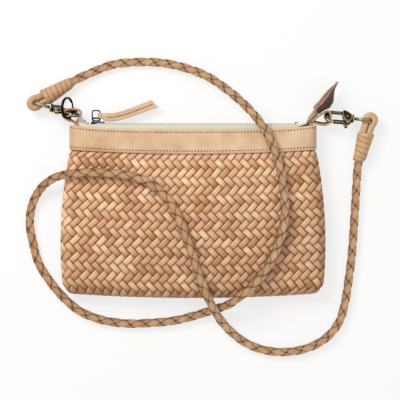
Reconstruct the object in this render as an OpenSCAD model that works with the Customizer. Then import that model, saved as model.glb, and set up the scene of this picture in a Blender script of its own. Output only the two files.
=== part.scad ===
// Woven leather zip clutch with a braided shoulder strap, lying on its back.
// X runs to the right along the zip, Y runs up past the zip, Z runs out of the front.
// The origin is the middle of the rear band's outer face, on the table. Millimetres.

/* [Pouch] */
// Greatest width of the pouch
bag_w = 266; // [250:1:285]
// How much narrower the bag is at each end of its mouth
mouth_in = 9.25; // [8:0.25:15.5]
// Height of the woven part at its middle
weave_h = 144.5; // [120:0.5:160]
// Height of the smooth band at its middle
band_h = 24.5; // [20:0.5:28]
// Thickness of the band leather
band_t = 1.8; // [1.2:0.1:2.2]
// Height of the side seam over the table
seam_z = 12; // [10:0.5:14]
// Rise of the front face over the seam at the mouth
mouth_rise = 10.5; // [9.5:0.5:13]
// Extra rise of the belly over the mouth
belly = 12; // [0:0.5:18]
// Edge rounding round the sides
side_round = 10; // [7:0.5:12]
// Edge rounding along the bottom
bottom_round = 9; // [6:0.5:12]
// Corner radius of the outline at the bottom
corner_r = 14; // [8:0.5:20]

/* [Weave] */
// Width of one leather strip
strip_w = 6.25; // [6:0.05:8]
// Height of a float over the gaps beside it
relief = 1.3; // [0.6:0.1:1.6]
// Thickness of the woven wall under the floats
weave_wall = 1.9; // [1.2:0.1:2.6]

/* [Zip] */
// Tooth pitch
tooth_pitch = 3; // [2.5:0.1:4]
// Thickness of the meshed chain
chain_t = 2.6; // [2:0.1:3]
// Thickness of the zip tape
tape_t = 0.7; // [0.5:0.1:0.9]
// Length of the slider
slider_l = 14; // [12:0.5:16]
// Width of the slider
slider_w = 9; // [8:0.5:10]
// Wire of the pull ring
pull_wire = 1.3; // [1:0.1:1.5]
// Length of the leather pull
pull_l = 60; // [40:1:64]
// Width of the leather pull
pull_w = 9; // [7:0.5:10]
// Thickness of one leaf of the leather pull
pull_leaf = 1.3; // [1:0.1:1.6]

/* [Clasps] */
// Length from the nose to the far wire of the eye
clasp_l = 46.5; // [45:0.5:50]
// Diameter of the hook's bar
hook_bar = 3.6; // [3:0.1:4]
// Distance of each bar from the clasp's axis
bow_half = 6.8; // [6.4:0.1:7.4]
// Thickness of the hook's body
hook_body_t = 6; // [5.6:0.1:7]
// Thickness of the gate lever
gate_t = 3.2; // [2.6:0.1:3.4]
// Diameter of the gate's pin
gate_pin_d = 1.6; // [1.2:0.1:2]
// Wire of the swivel eye
eye_wire = 3; // [2.4:0.1:3.2]
// Ring radius of the swivel eye
eye_r = 7.2; // [7:0.1:7.6]
// Outer diameter of the key ring
key_ring_d = 22.2; // [20:0.1:23]
// Wire of the key ring
key_wire = 1.7; // [1.4:0.1:1.9]

/* [Tabs] */
// Thickness of the tab leather
tab_t = 1.7; // [1.3:0.1:2]
// Width of the tab strips
tab_w = 4.8; // [4:0.1:5.2]
// Length of the zip's end tab
end_tab_l = 37; // [30:0.5:44]
// Width of the zip's end tab
end_tab_w = 20; // [14:0.5:22]

/* [Strap] */
// Diameter of the braided strap
strap_d = 8.5; // [7.5:0.1:8.8]
// Diameter of the strap where it loops through an eye
loop_d = 5.6; // [4.6:0.1:5.8]
// Large diameter of a binding
bind_big_d = 17; // [16:0.2:17.6]
// Small diameter of a binding
bind_small_d = 10.6; // [9.6:0.2:12]

/* [Hidden] */
$fn = 48;
// Clearance of leather laid on leather
clr = 0.15;
// Clearance of moving metal
run_clr = 0.25;
// Overrun of every cut
over = 1;

// Colours
woven_c = "#C99A70";
band_c = "#E0BC98";
braid_c = "#C9A06E";
tape_c = "#EDE8D0";
gunmetal_c = "#4A4640";
brass_c = "#A8894A";
black_c = "#2B2B2E";

// Outline of the pouch
mouth_half = bag_w / 2 - mouth_in;
// Share of the woven height, from the bottom, at which the pouch is widest
widest_share = 0.35;
// Sag of the bottom edge, of the band's lower edge and of its upper edge
bottom_sag = 4.5;
band_low_sag = 4.2;
band_top_sag = 5;
// Closing of the front face from the band's lower to its upper edge
mouth_close = 1.5;
band_low_y = -band_h / 2;
band_top_y = band_h / 2;
bottom_y = band_low_y - weave_h;
inner_in = relief + weave_wall;
collar_in = band_t + clr;
// Share of the band's height that the woven wall reaches up behind it
collar_share = 0.8;

function wrap_in(s, r) = s < r * PI / 2 ? r * (1 - cos(s / r * 180 / PI)) : s - r * (PI / 2 - 1);
function wrap_up(s, r) = s < r * PI / 2 ? sin(s / r * 180 / PI) : 1;
function corner_cut(d) = d < corner_r ? corner_r * (1 - sqrt(1 - pow(1 - d / corner_r, 2))) : 0;
function half_at(d) = mouth_half - corner_cut(d) + (bag_w / 2 - mouth_half)
    * (1 - pow((d / weave_h - widest_share) / (1 - widest_share), 2));
function low_y_at(x) = band_low_y + band_low_sag * pow(x / mouth_half, 2);
function top_y_at(x) = band_top_y + band_top_sag * pow(x / mouth_half, 2);
function bottom_y_at(x) = bottom_y + bottom_sag * pow(x / mouth_half, 2);
function arc_len(half) = half - side_round * (1 - PI / 2);
left_corner = [-mouth_half, band_top_y + band_top_sag];
right_corner = [mouth_half, band_top_y + band_top_sag];

// A point of the woven skin: u runs from -1 to 1 across, v from 0 to 1 up, side is 1 in front
// and -1 behind, inset is the depth under the outermost skin.
function skin_at(u, v, side, inset) =
    let (arc = v * (weave_h + bottom_round * (PI / 2 - 1)),
        d = inset + wrap_in(arc, bottom_round) * (1 - inset / weave_h),
        half = half_at(d) - inset,
        along = (1 - abs(u)) * arc_len(half),
        x = sign(u) * (half - wrap_in(along, side_round)),
        y0 = bottom_y_at(x),
        y = y0 + d / weave_h * (low_y_at(x) - y0),
        up = wrap_up(along, side_round) * wrap_up(arc, bottom_round),
        rise = side > 0 ? mouth_rise + belly * cos(90 * u) * sin(180 * v) : seam_z)
    [x, y, seam_z + side * (rise - inset) * up];

// The same for the mouth, where w runs from the band's lower to its upper edge.
function mouth_at(u, w, side, inset) =
    let (half = mouth_half - inset,
        along = (1 - abs(u)) * arc_len(half),
        x = sign(u) * (half - wrap_in(along, side_round)),
        y = low_y_at(x) + w * (top_y_at(x) - low_y_at(x)),
        rise = side > 0 ? mouth_rise - mouth_close * w : seam_z)
    [x, y, seam_z + side * (rise - inset) * wrap_up(along, side_round)];

// Triangles over the end of a ring of n points, from its first and last to its middle ones
function cap(n) = [for (j = [0:n / 2 - 2]) each [[j, j + 1, n - 2 - j], [j, n - 2 - j, n - 1 - j]]];

// A closed skin through rings of evenly many points that run anticlockwise round the way they go.
module loft(rings) {
    n = len(rings[0]);
    m = len(rings);
    polyhedron(points = [for (ring = rings) each ring],
        faces = concat(cap(n), [for (f = cap(n)) [for (i = [2:-1:0]) (m - 1) * n + f[i]]],
            [for (i = [0:m - 2], j = [0:n - 1]) let (k = (j + 1) % n)
                each [[i * n + j, (i + 1) * n + j, (i + 1) * n + k],
                    [i * n + j, (i + 1) * n + k, i * n + k]]]));
}

// The weave: strips laid on the bias, two over and two under. The grid has a node at each
// crossing's corners, which lie low, and at its middle, which stands high, and each square is
// split along the ridge of the float that it belongs to.
half_pitch = strip_w / sqrt(2);
cols = 2 * round(arc_len(bag_w / 2) / half_pitch);
rows = round((weave_h + bottom_round * (PI / 2 - 1)) / half_pitch);
lap_rows = 4;
inner_rows = 6;
inner_cols = cols / 2;

function face_u(p, n) = p <= n ? 2 * p / n - 1 : 3 - 2 * p / n;
function face_side(p, n) = p <= n ? 1 : -1;
function at_grid(p, q, n) = q == 0 ? (p <= n ? p : 2 * n - p) : n + 1 + (q - 1) * 2 * n + p % (2 * n);
function leans_right(p, q) = let (k = (q + lap_rows - 1) % lap_rows)
    k == 0 ? true : k == 2 ? false : (p + q) % 2 == 0;

module woven_body() {
    outer = [for (q = [0:rows]) let (last = q == 0 ? cols : 2 * cols - 1) for (p = [0:last])
        skin_at(face_u(p, cols), q / rows, face_side(p, cols),
            q == rows ? collar_in : (p + q) % 2 == 1 ? 0 : relief)];
    collar = [for (p = [0:2 * cols - 1])
        mouth_at(face_u(p, cols), collar_share, face_side(p, cols), collar_in)];
    inner = [for (q = [0:inner_rows]) let (last = q == 0 ? inner_cols : 2 * inner_cols - 1)
        for (p = [0:last]) skin_at(face_u(p, inner_cols), q / inner_rows,
            face_side(p, inner_cols), inner_in)];
    rim = [for (p = [0:2 * inner_cols - 1])
        mouth_at(face_u(p, inner_cols), collar_share, face_side(p, inner_cols), inner_in)];
    a = len(outer);
    b = a + len(collar);
    c = b + len(inner);
    weave_faces = [for (q = [0:rows - 1], p = [0:2 * cols - 1])
        let (i = at_grid(p, q, cols), j = at_grid(p + 1, q, cols),
            k = at_grid(p + 1, q + 1, cols), l = at_grid(p, q + 1, cols))
        each leans_right(p, q) ? [[i, k, j], [i, l, k]] : [[i, l, j], [j, l, k]]];
    collar_faces = [for (p = [0:2 * cols - 1])
        let (i = at_grid(p, rows, cols), j = at_grid(p + 1, rows, cols),
            k = a + (p + 1) % (2 * cols), l = a + p) each [[i, k, j], [i, l, k]]];
    inner_faces = [for (q = [0:inner_rows - 1], p = [0:2 * inner_cols - 1])
        let (i = b + at_grid(p, q, inner_cols), j = b + at_grid(p + 1, q, inner_cols),
            k = b + at_grid(p + 1, q + 1, inner_cols), l = b + at_grid(p, q + 1, inner_cols))
        each [[i, j, k], [i, k, l]]];
    lip_faces = [for (p = [0:2 * inner_cols - 1])
        let (i = b + at_grid(p, inner_rows, inner_cols),
            j = b + at_grid(p + 1, inner_rows, inner_cols),
            k = c + (p + 1) % (2 * inner_cols), l = c + p) each [[i, j, k], [i, k, l]]];
    rim_faces = [for (p = [0:2 * inner_cols - 1])
        let (i = a + 2 * p, m = a + 2 * p + 1, j = a + (2 * p + 2) % (2 * cols),
            k = c + (p + 1) % (2 * inner_cols), l = c + p)
        each [[i, l, m], [m, k, j], [m, l, k]]];
    color(woven_c) polyhedron(points = concat(outer, collar, inner, rim),
        faces = concat(weave_faces, collar_faces, inner_faces, lip_faces, rim_faces));
}

// One band of smooth leather from side seam to side seam.
module band(side) {
    loft([for (p = side > 0 ? [0:cols] : [cols:-1:0]) let (u = 2 * p / cols - 1)
        [mouth_at(u, 0, side, 0), mouth_at(u, 0, side, band_t),
            mouth_at(u, 1, side, band_t), mouth_at(u, 1, side, 0)]]);
}
module front_band() { color(band_c) band(1); }
module rear_band() { color(band_c) band(-1); }

// Zip. Each tape is sewn inside its band, rises out of it and carries teeth along its edge.
zip_over_band = 5.25;
zip_y = band_top_y + zip_over_band;
zip_z = seam_z;
tape_sewn = 9;
// Distances of the tape's ends from the corners of the mouth
tape_left_in = 9.75;
tape_right_in = 17.75;
tape_left = left_corner[0] + tape_left_in;
tape_right = right_corner[0] - tape_right_in;
// Left of the slider the zip is open: the tapes stand up over the band and part
end_rise = 6.5;
end_rise_l = 11.5;
end_part = 4.2;
// Depth of the fold in the tape where it stands up
fold_tip = 1;
end_steps = 6;
rise_from = tape_left + end_rise_l;
// Slot between the two rows, in which the slider's wedge runs
wedge_slot = 1;
tooth_h = 2.6;
tooth_l = tooth_pitch / 2 - run_clr / 2;
tape_edge = wedge_slot / 2 + tooth_h / 2;
tape_bend = slider_w / 2 + tape_t;
tape_step = 10;
tape_in = inner_in + clr;

function ease(t) = let (c = max(0, min(1, t))) c * c * (3 - 2 * c);
function open_at(x) = ease((rise_from - x) / end_rise_l);
function zip_y_at(x) = zip_y + end_rise * open_at(x);
// Height of the sewn tape over the seam, narrower where the mouth rounds off
function tape_out_at(x, side) = let (in = mouth_half - 2 * tape_in - abs(x))
    ((side > 0 ? mouth_rise - mouth_close : seam_z) - tape_in)
    * (in < side_round ? sqrt(1 - pow(1 - in / side_round, 2)) : 1);
function tape_xs() = [for (i = [0:end_steps]) tape_left + i / end_steps * end_rise_l,
    for (x = [rise_from + tape_step:tape_step:tape_right - over]) x, tape_right];

module tape(side) {
    half = tape_t / 2;
    xs = tape_xs();
    loft([for (x = side > 0 ? xs : [for (i = [len(xs) - 1:-1:0]) xs[i]])
        let (y0 = zip_y - tape_sewn - band_top_sag / 2, y1 = zip_y_at(x), open = open_at(x),
            part = end_part * open, low = y1 - half - tape_t - chain_t * open,
            e = zip_z + side * (tape_edge + part), m = zip_z + side * (tape_bend + part),
            tip = m + side * (tape_t + fold_tip * open), o = zip_z + side * tape_out_at(x, side))
        [[x, y1 + half, e], [x, y1 + half, tip], [x, low - tape_t * open, o], [x, y0, o],
            [x, y0, o - side * tape_t], [x, low - tape_t * (1 - open), o - side * tape_t],
            [x, y1 - half, m], [x, y1 - half, e]]]);
}
module zip_tape_front() { color(tape_c) tape(1); }
module zip_tape_rear() { color(tape_c) tape(-1); }

module teeth(side) {
    n = floor((tape_right - tape_left - tooth_pitch) / tooth_pitch);
    shift = side > 0 ? 0 : tooth_pitch / 2;
    for (i = [1:n]) let (x = tape_left + i * tooth_pitch + shift,
        low = wedge_slot / 2 + end_part * open_at(x),
        slope = zip_y_at(x - tooth_l / 2) - zip_y_at(x + tooth_l / 2),
        drift = end_part / end_rise * slope, slot = tape_t + slope + 2 * clr)
        translate([x - tooth_l / 2, zip_y_at(x) - chain_t / 2, zip_z + (side > 0 ? low : -low - tooth_h)])
        difference() {
            cube([tooth_l, chain_t, tooth_h]);
            translate([-over, chain_t / 2 - slot / 2,
                side > 0 ? tape_edge - wedge_slot / 2 - drift - clr : -over])
                cube([tooth_l + 2 * over, slot,
                    tooth_h - tape_edge + wedge_slot / 2 + drift + clr + over]);
        }
}
module zip_teeth_front() { color(gunmetal_c) teeth(1); }
module zip_teeth_rear() { color(gunmetal_c) teeth(-1); }

// Bottom stop: one clip over both rows at the closed end.
stop_l = 3.4;
module zip_stops() {
    color(gunmetal_c) translate([tape_right - stop_l - tooth_pitch / 4, zip_y + chain_t / 2 + clr,
        zip_z - tape_edge]) cube([stop_l, chain_t / 3, 2 * tape_edge]);
}

// Both tapes run on together past the stop and turn up into the end tab.
tail_w = 12;
tail_lean = 25;
end_tab_dir = 52.8;
// Place of the end tab's base from the corner of the mouth
end_tab_off = [-0.25, 13.75];
end_tab_base = right_corner + end_tab_off;
end_tab_slot = tape_t + 2 * clr;
tail_in = 8;
tail_turn_in = 10.75;
tail_turn_x = right_corner[0] - tail_turn_in;
tail_climb = 5.8;
tail_steps = 5;

function tail_ring(p, dir, lean) = let (n = [-sin(dir), cos(dir), 0] * tape_t / 2,
        w = [-sin(dir) * sin(lean), cos(dir) * sin(lean), cos(lean)] * tail_w / 2,
        c = [p[0], p[1], zip_z])
    [c + w - n, c + w + n, c - w + n, c - w - n];

// Stops along the tail: place, direction and lean
function tail_stops() = [[[tape_right + clr, zip_y], 0, 0],
    [[tail_turn_x, zip_y + tape_t], end_tab_dir / 3, 0],
    [[(tail_turn_x + end_tab_base[0]) / 2, zip_y + tail_climb], end_tab_dir, tail_lean / 2],
    [end_tab_base, end_tab_dir, tail_lean],
    [end_tab_base + tail_in * [cos(end_tab_dir), sin(end_tab_dir)], end_tab_dir, tail_lean]];

module zip_tail() {
    stops = tail_stops();
    last = stops[len(stops) - 1];
    color(tape_c) loft([for (i = [0:len(stops) - 2], k = [0:tail_steps - 1])
        let (mid = [for (j = [0:2]) stops[i][j] + k / tail_steps * (stops[i + 1][j] - stops[i][j])])
        tail_ring(mid[0], mid[1], mid[2]), tail_ring(last[0], last[1], last[2])]);
}

// The leaf-shaped end tab: length shares and half-width shares from its base to its tip.
leaf_shares = [[0, 0.5], [0.1, 0.72], [0.3, 1], [0.5, 0.97], [0.7, 0.78], [0.88, 0.5], [1, 0.28]];
end_tab_t = 2 * tab_t + end_tab_slot;
slot_share = 0.8;

module zip_end_tab() {
    pts = concat([for (s = leaf_shares) [s[0] * end_tab_l, s[1] * end_tab_w / 2]],
        [for (i = [len(leaf_shares) - 1:-1:0])
            [leaf_shares[i][0] * end_tab_l, -leaf_shares[i][1] * end_tab_w / 2]]);
    color(woven_c) translate([end_tab_base[0], end_tab_base[1], zip_z])
        rotate([0, 0, end_tab_dir]) rotate([90 - tail_lean, 0, 0])
        difference() {
            linear_extrude(end_tab_t, center = true) polygon(pts);
            translate([-over, -end_tab_w / 2 - over, -end_tab_slot / 2])
                cube([slot_share * end_tab_l + over, end_tab_w + 2 * over, end_tab_slot]);
        }
}

// Slider: two plates over and under the chain, joined by the wedge, with a crown on top.
// Distance of the slider from the corner of the mouth
slider_in = 28.75;
slider_x = left_corner[0] + slider_in;
plate_t = 1.4;
plate_gap = chain_t + 2 * run_clr;
wedge_t = wedge_slot - 2 * run_clr;
crown_back = 2;
crown_x = slider_x - crown_back;
crown_l = 8;
crown_h = 4.4;
crown_t = 2;
crown_hole_l = 5;
crown_hole_h = 2.6;
slider_top = zip_y + plate_gap / 2 + plate_t;
// Widths of the plate at its ends, as shares of its width
plate_end_shares = [1, 0.62];

module slider_plate() {
    linear_extrude(plate_t) polygon([
        [-slider_l / 2, -plate_end_shares[0] * slider_w / 2],
        [0, -slider_w / 2],
        [slider_l / 2, -plate_end_shares[1] * slider_w / 2],
        [slider_l / 2, plate_end_shares[1] * slider_w / 2],
        [0, slider_w / 2],
        [-slider_l / 2, plate_end_shares[0] * slider_w / 2]]);
}

module zip_slider() {
    color(gunmetal_c) union() {
        translate([slider_x, zip_y + plate_gap / 2 + plate_t, zip_z]) rotate([90, 0, 0]) slider_plate();
        translate([slider_x, zip_y - plate_gap / 2, zip_z]) rotate([90, 0, 0]) slider_plate();
        translate([slider_x - slider_l / 2, zip_y - plate_gap / 2 - plate_t / 2, zip_z - wedge_t / 2])
            cube([slider_l / 3, plate_gap + plate_t, wedge_t]);
        translate([crown_x, slider_top - plate_t / 2, zip_z - crown_t / 2]) difference() {
            linear_extrude(crown_t) union() {
                translate([-crown_l / 2, 0]) square([crown_l, crown_h + plate_t / 2 - crown_t]);
                translate([-crown_l / 2 + crown_t, 0]) square([crown_l - 2 * crown_t, crown_h + plate_t / 2]);
                for (s = [-1, 1]) translate([s * (crown_l / 2 - crown_t), crown_h + plate_t / 2 - crown_t])
                    circle(crown_t);
            }
            translate([-crown_hole_l / 2, plate_t / 2, -over])
                cube([crown_hole_l, crown_hole_h, crown_t + 2 * over]);
        }
    }
}

// Pull ring: a wire frame whose lower side lies in the crown, turned half towards the front.
pull_ring_w = 12;
pull_ring_h = 11.5;
pull_ring_turn = 45;
pull_corner = 2;
pull_ring_y = slider_top + run_clr + pull_wire / 2;
pull_half_w = (pull_ring_w - pull_wire) / 2;
pull_rise = pull_ring_h - pull_wire;

module place_pull_ring() {
    translate([crown_x, pull_ring_y, zip_z]) rotate([0, pull_ring_turn, 0]) children();
}
module wire_between(a, b, d) {
    v = b - a;
    translate(a) rotate([0, acos(v[2] / norm(v)), atan2(v[1], v[0])]) cylinder(d = d, h = norm(v));
}
module pull_ring() {
    color(gunmetal_c) place_pull_ring() union() {
        for (y = [0, pull_rise]) wire_between([-pull_half_w + pull_corner, y, 0],
            [pull_half_w - pull_corner, y, 0], pull_wire);
        for (x = [-1, 1]) wire_between([x * pull_half_w, pull_corner, 0],
            [x * pull_half_w, pull_rise - pull_corner, 0], pull_wire);
        for (x = [-1, 1], y = [0, 1])
            translate([x * (pull_half_w - pull_corner), y ? pull_rise - pull_corner : pull_corner, 0])
            rotate([0, 0, x > 0 ? (y ? 0 : -90) : (y ? 90 : 180)])
            rotate_extrude(angle = 90) translate([pull_corner, 0]) circle(d = pull_wire);
    }
}

// Leather pull: a strip folded round the ring's side, its two leaves sewn together.
pull_dir = 16.5;
pull_eye_r = pull_wire / 2 + run_clr;
pull_neck_w = pull_rise - 2 * pull_corner - 2 * run_clr;
// Length of the taper from the neck to the full width
pull_taper = 9;
pull_slit = 0.2;
pull_end_cut = 2.5;
pull_anchor = [crown_x + pull_half_w * cos(pull_ring_turn), pull_ring_y + pull_rise / 2,
    zip_z - pull_half_w * sin(pull_ring_turn)];

module zip_pull() {
    half = pull_leaf + pull_slit / 2;
    color(band_c) translate(pull_anchor) difference() {
        union() {
            rotate([90, 0, 0]) cylinder(r = pull_eye_r + pull_leaf, h = pull_neck_w, center = true);
            translate([0, 0, -half]) linear_extrude(2 * half) polygon([
                [0, -pull_neck_w / 2], [pull_eye_r + pull_leaf, -pull_neck_w / 2],
                [pull_taper, pull_taper * tan(pull_dir) - pull_w / 2],
                [pull_l + pull_end_cut / 2, pull_l * tan(pull_dir) - pull_w / 2],
                [pull_l - pull_end_cut, pull_l * tan(pull_dir) + pull_w / 2],
                [pull_taper, pull_taper * tan(pull_dir) + pull_w / 2],
                [pull_eye_r + pull_leaf, pull_neck_w / 2], [0, pull_neck_w / 2]]);
        }
        rotate([90, 0, 0]) cylinder(r = pull_eye_r, h = pull_neck_w + 2 * over, center = true);
        translate([0, -pull_w - pull_l, -pull_slit / 2])
            cube([2 * pull_l, 2 * pull_w + 2 * pull_l, pull_slit]);
    }
}

// Tabs: leather loops whose stems are sewn in at the ends of the mouth. Each outline is the
// middle line of the strip.
tab_drop = 0.6;
tab_z = seam_z - tab_drop;
tab_round = 2.2;
stem_t = 2 * tab_t;
tab_reach = 15;
// Corners of each loop from the foot of its stem, as shares of the reach
left_tab_shares = [[0, 0], [-0.93, 0.23], [-0.88, 0.87], [0.23, 0.92], [0.36, 0.49]];
right_tab_shares = [[0, 0], [0.5, 0.45], [1.27, 0.86], [1.33, -0.02], [0.8, -0.28]];
// Places of the feet from the corners of the mouth
left_foot_off = [6.75, 2.35];
right_foot_off = [-5.25, 2.75];
left_foot = left_corner + left_foot_off;
right_foot = right_corner + right_foot_off;
// The stem's sewn end, in from the foot and down between the bands
stem_in = 4;
stem_down = 15.5;

module loop_tab(shares, foot) {
    path = [for (s = shares) foot + s * tab_reach];
    stem = foot + [-sign(foot[0]) * stem_in, -stem_down];
    translate([0, 0, tab_z - tab_w / 2]) linear_extrude(tab_w) union() {
        difference() {
            offset(r = tab_round, $fn = 24) offset(delta = -tab_round + tab_t / 2) polygon(path);
            offset(r = tab_round - tab_t, $fn = 24) offset(delta = -tab_round + tab_t / 2) polygon(path);
        }
        hull() {
            translate(path[0]) circle(d = stem_t, $fn = 16);
            translate(stem) circle(d = stem_t, $fn = 16);
        }
    }
}
module left_tab() { color(band_c) loop_tab(left_tab_shares, left_foot); }
module right_tab() { color(band_c) loop_tab(right_tab_shares, right_foot); }

// Key ring: a split ring of two turns, placed from the corner of the mouth.
key_ring_off = [-1.65, 16.65];
key_ring_at = left_corner + key_ring_off;
key_ring_z = 16.6;
key_ring_turn = 62;
module key_ring() {
    color(black_c) translate([key_ring_at[0], key_ring_at[1], key_ring_z]) rotate([0, key_ring_turn, 0])
        rotate_extrude($fn = 96) for (s = [-1, 1])
        translate([(key_ring_d - key_wire) / 2, s * key_wire / 4]) circle(d = key_wire);
}

// Swivel clasps. In their own frame x runs from the nose to the eye, the fixed bar is at +y and
// the gate at -y.
clasp_z = 11;
// Places of the noses from the corners of the mouth
left_nose_off = [9.85, 9.4];
right_nose_off = [7.4, 8.65];
left_nose_at = left_corner + left_nose_off;
left_dir = 164.6;
left_turn = 75;
right_nose_at = right_corner + right_nose_off;
right_dir = -4.8;
right_turn = 47;
left_eye_at = left_nose_at + clasp_l * [cos(left_dir), sin(left_dir)];
right_eye_at = right_nose_at + clasp_l * [cos(right_dir), sin(right_dir)];
nose_x = hook_bar / 2 + bow_half;
// The hook ends at its collar, short of the eye, and its stations are placed back from there
collar_l = 2.85;
collar_x = clasp_l - 2 * eye_r - eye_wire / 2 - run_clr - collar_l;
body_l = 9;
body_x1 = collar_x;
body_x0 = body_x1 - body_l;
gate_in = 5.1;
gate_x = body_x1 - gate_in;
// Distance of the gate's pin from the middle of the gate's bar
gate_pin_in = 1;
gate_y = -bow_half + gate_pin_in;
gate_h = 3.4;
gate_hub_r = 2.5;
thumb_l = 8.4;
thumb_w = 3.4;
thumb_turn = 12;
collar_d = 8;
stem_d = 3.2;
head_d = 5.4;
head_l = 1.8;
head_in = 4.7;
head_x = body_x1 - head_in;
gate_tip_gap = 0.35;
fork_gap = gate_t + 2 * run_clr;
neck_half = 4.2;

module place_clasp(left) {
    at = left ? left_nose_at : right_nose_at;
    dir = left ? left_dir : right_dir;
    translate([at[0], at[1], clasp_z]) rotate([0, 0, dir]) mirror([0, left ? 1 : 0, 0]) children();
}
module place_hook(left) {
    place_clasp(left) rotate([left ? -left_turn : -right_turn, 0, 0]) children();
}

module hook(left) {
    color(brass_c) place_hook(left) difference() {
        union() {
            translate([nose_x, 0, 0]) rotate([0, 0, 90]) rotate_extrude(angle = 180)
                translate([bow_half, 0]) circle(d = hook_bar);
            wire_between([nose_x, bow_half, 0], [body_x0 + hook_bar, bow_half, 0], hook_bar);
            linear_extrude(hook_body_t, center = true) polygon([
                [body_x0, bow_half + hook_bar / 2], [body_x0 + hook_bar, bow_half + hook_bar / 2],
                [body_x1, neck_half], [body_x1, -neck_half],
                [gate_x + gate_hub_r, gate_y - gate_hub_r], [gate_x, gate_y - gate_hub_r],
                [gate_x - gate_hub_r, gate_y + gate_hub_r], [body_x0, bow_half / 2]]);
            translate([collar_x, 0, 0]) rotate([0, 90, 0]) cylinder(d = collar_d, h = collar_l);
        }
        // slot for the gate
        translate([body_x0 - over, gate_y - bow_half - over, -fork_gap / 2])
            cube([gate_x + gate_hub_r + run_clr - body_x0 + over,
                bow_half + gate_hub_r + run_clr + over, fork_gap]);
        translate([gate_x, gate_y, 0]) cylinder(d = gate_pin_d, h = hook_body_t + 2 * over, center = true);
        // bore and chamber for the swivel's stem and head
        translate([head_x, 0, 0]) rotate([0, 90, 0])
            cylinder(d = stem_d + 2 * run_clr, h = collar_x + collar_l - head_x + over);
        translate([head_x - run_clr, 0, 0]) rotate([0, 90, 0])
            cylinder(d = head_d + 2 * run_clr, h = head_l + 2 * run_clr);
    }
}
module left_hook() { hook(true); }
module right_hook() { hook(false); }

module gate(left) {
    color(brass_c) place_hook(left) difference() {
        linear_extrude(gate_t, center = true) union() {
            translate([gate_x, gate_y]) circle(gate_hub_r);
            translate([nose_x + gate_tip_gap, -bow_half - gate_h / 2])
                square([gate_x - nose_x - gate_tip_gap, gate_h]);
            translate([gate_x - thumb_w / 2, gate_y]) rotate(thumb_turn) translate([-thumb_w / 2, -thumb_l])
                square([thumb_w, thumb_l]);
        }
        translate([gate_x, gate_y, 0])
            cylinder(d = gate_pin_d + run_clr, h = gate_t + 2 * over, center = true);
    }
}
module left_gate() { gate(true); }
module right_gate() { gate(false); }

module gate_pin(left) {
    color(brass_c) place_hook(left) translate([gate_x, gate_y, 0])
        cylinder(d = gate_pin_d, h = hook_body_t, center = true);
}
module left_gate_pin() { gate_pin(true); }
module right_gate_pin() { gate_pin(false); }

module eye(left) {
    color(brass_c) place_clasp(left) union() {
        translate([clasp_l - eye_r, 0, 0]) rotate([90, 0, 0]) rotate_extrude($fn = 72)
            translate([eye_r, 0]) circle(d = eye_wire);
        translate([head_x, 0, 0]) rotate([0, 90, 0])
            cylinder(d = stem_d, h = clasp_l - 2 * eye_r - head_x);
        translate([head_x, 0, 0]) rotate([0, 90, 0]) cylinder(d = head_d, h = head_l);
    }
}
module left_eye() { eye(true); }
module right_eye() { eye(false); }

// Strap ends: each is turned round the far wire of its eye, and both legs run into the binding.
// Places of the bindings' thick ends from the far wires
left_bind_off = [12.85, 7];
right_bind_off = [-4, -12.5];
left_bind_at = left_eye_at + left_bind_off;
left_bind_dir = 30.7;
right_bind_at = right_eye_at + right_bind_off;
right_bind_dir = -103.8;
bind_z = 9.6;
bind_l = 30;
bind_drop = 7;
bind_wraps = 5;
// Depth of the grooves between the wraps
wrap_groove = 0.5;
turn_r = eye_wire / 2 + clr + loop_d / 2;

module strap_loop(left) {
    at = left ? left_eye_at : right_eye_at;
    to = left ? left_bind_at : right_bind_at;
    v = [to[0] - at[0], to[1] - at[1]];
    skew = abs(atan2(v[1], v[0]) - (left ? left_bind_dir : right_bind_dir));
    leg = norm(v) - clr - loop_d / 2 * tan(bind_drop) - (turn_r + loop_d / 2) * tan(skew);
    color(braid_c) translate([at[0], at[1], clasp_z]) rotate([0, 0, atan2(v[1], v[0])]) union() {
        rotate([0, 0, 90]) rotate_extrude(angle = 180) translate([turn_r, 0]) circle(d = loop_d);
        for (s = [-1, 1]) translate([0, s * turn_r, 0]) rotate([0, 90, 0]) cylinder(d = loop_d, h = leg);
    }
}
module left_strap_loop() { strap_loop(true); }
module right_strap_loop() { strap_loop(false); }

module binding(left) {
    at = left ? left_bind_at : right_bind_at;
    step = bind_l / bind_wraps;
    slope = (bind_big_d - bind_small_d) / 2 / bind_l;
    pts = [for (i = [0:bind_wraps - 1]) each let (r = bind_big_d / 2 - slope * i * step)
        [[r, i * step], [r - slope * step + wrap_groove / 2, (i + 1) * step - wrap_groove],
            [r - slope * step - wrap_groove, (i + 1) * step - wrap_groove / 2]]];
    color(braid_c) translate([at[0], at[1], bind_z]) rotate([0, 0, left ? left_bind_dir : right_bind_dir])
        rotate([0, 90 + bind_drop, 0]) rotate_extrude($fn = 64)
        polygon(concat([[0, 0]], pts, [[0, bind_l - wrap_groove / 2]]));
}
module left_binding() { binding(true); }
module right_binding() { binding(false); }

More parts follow.
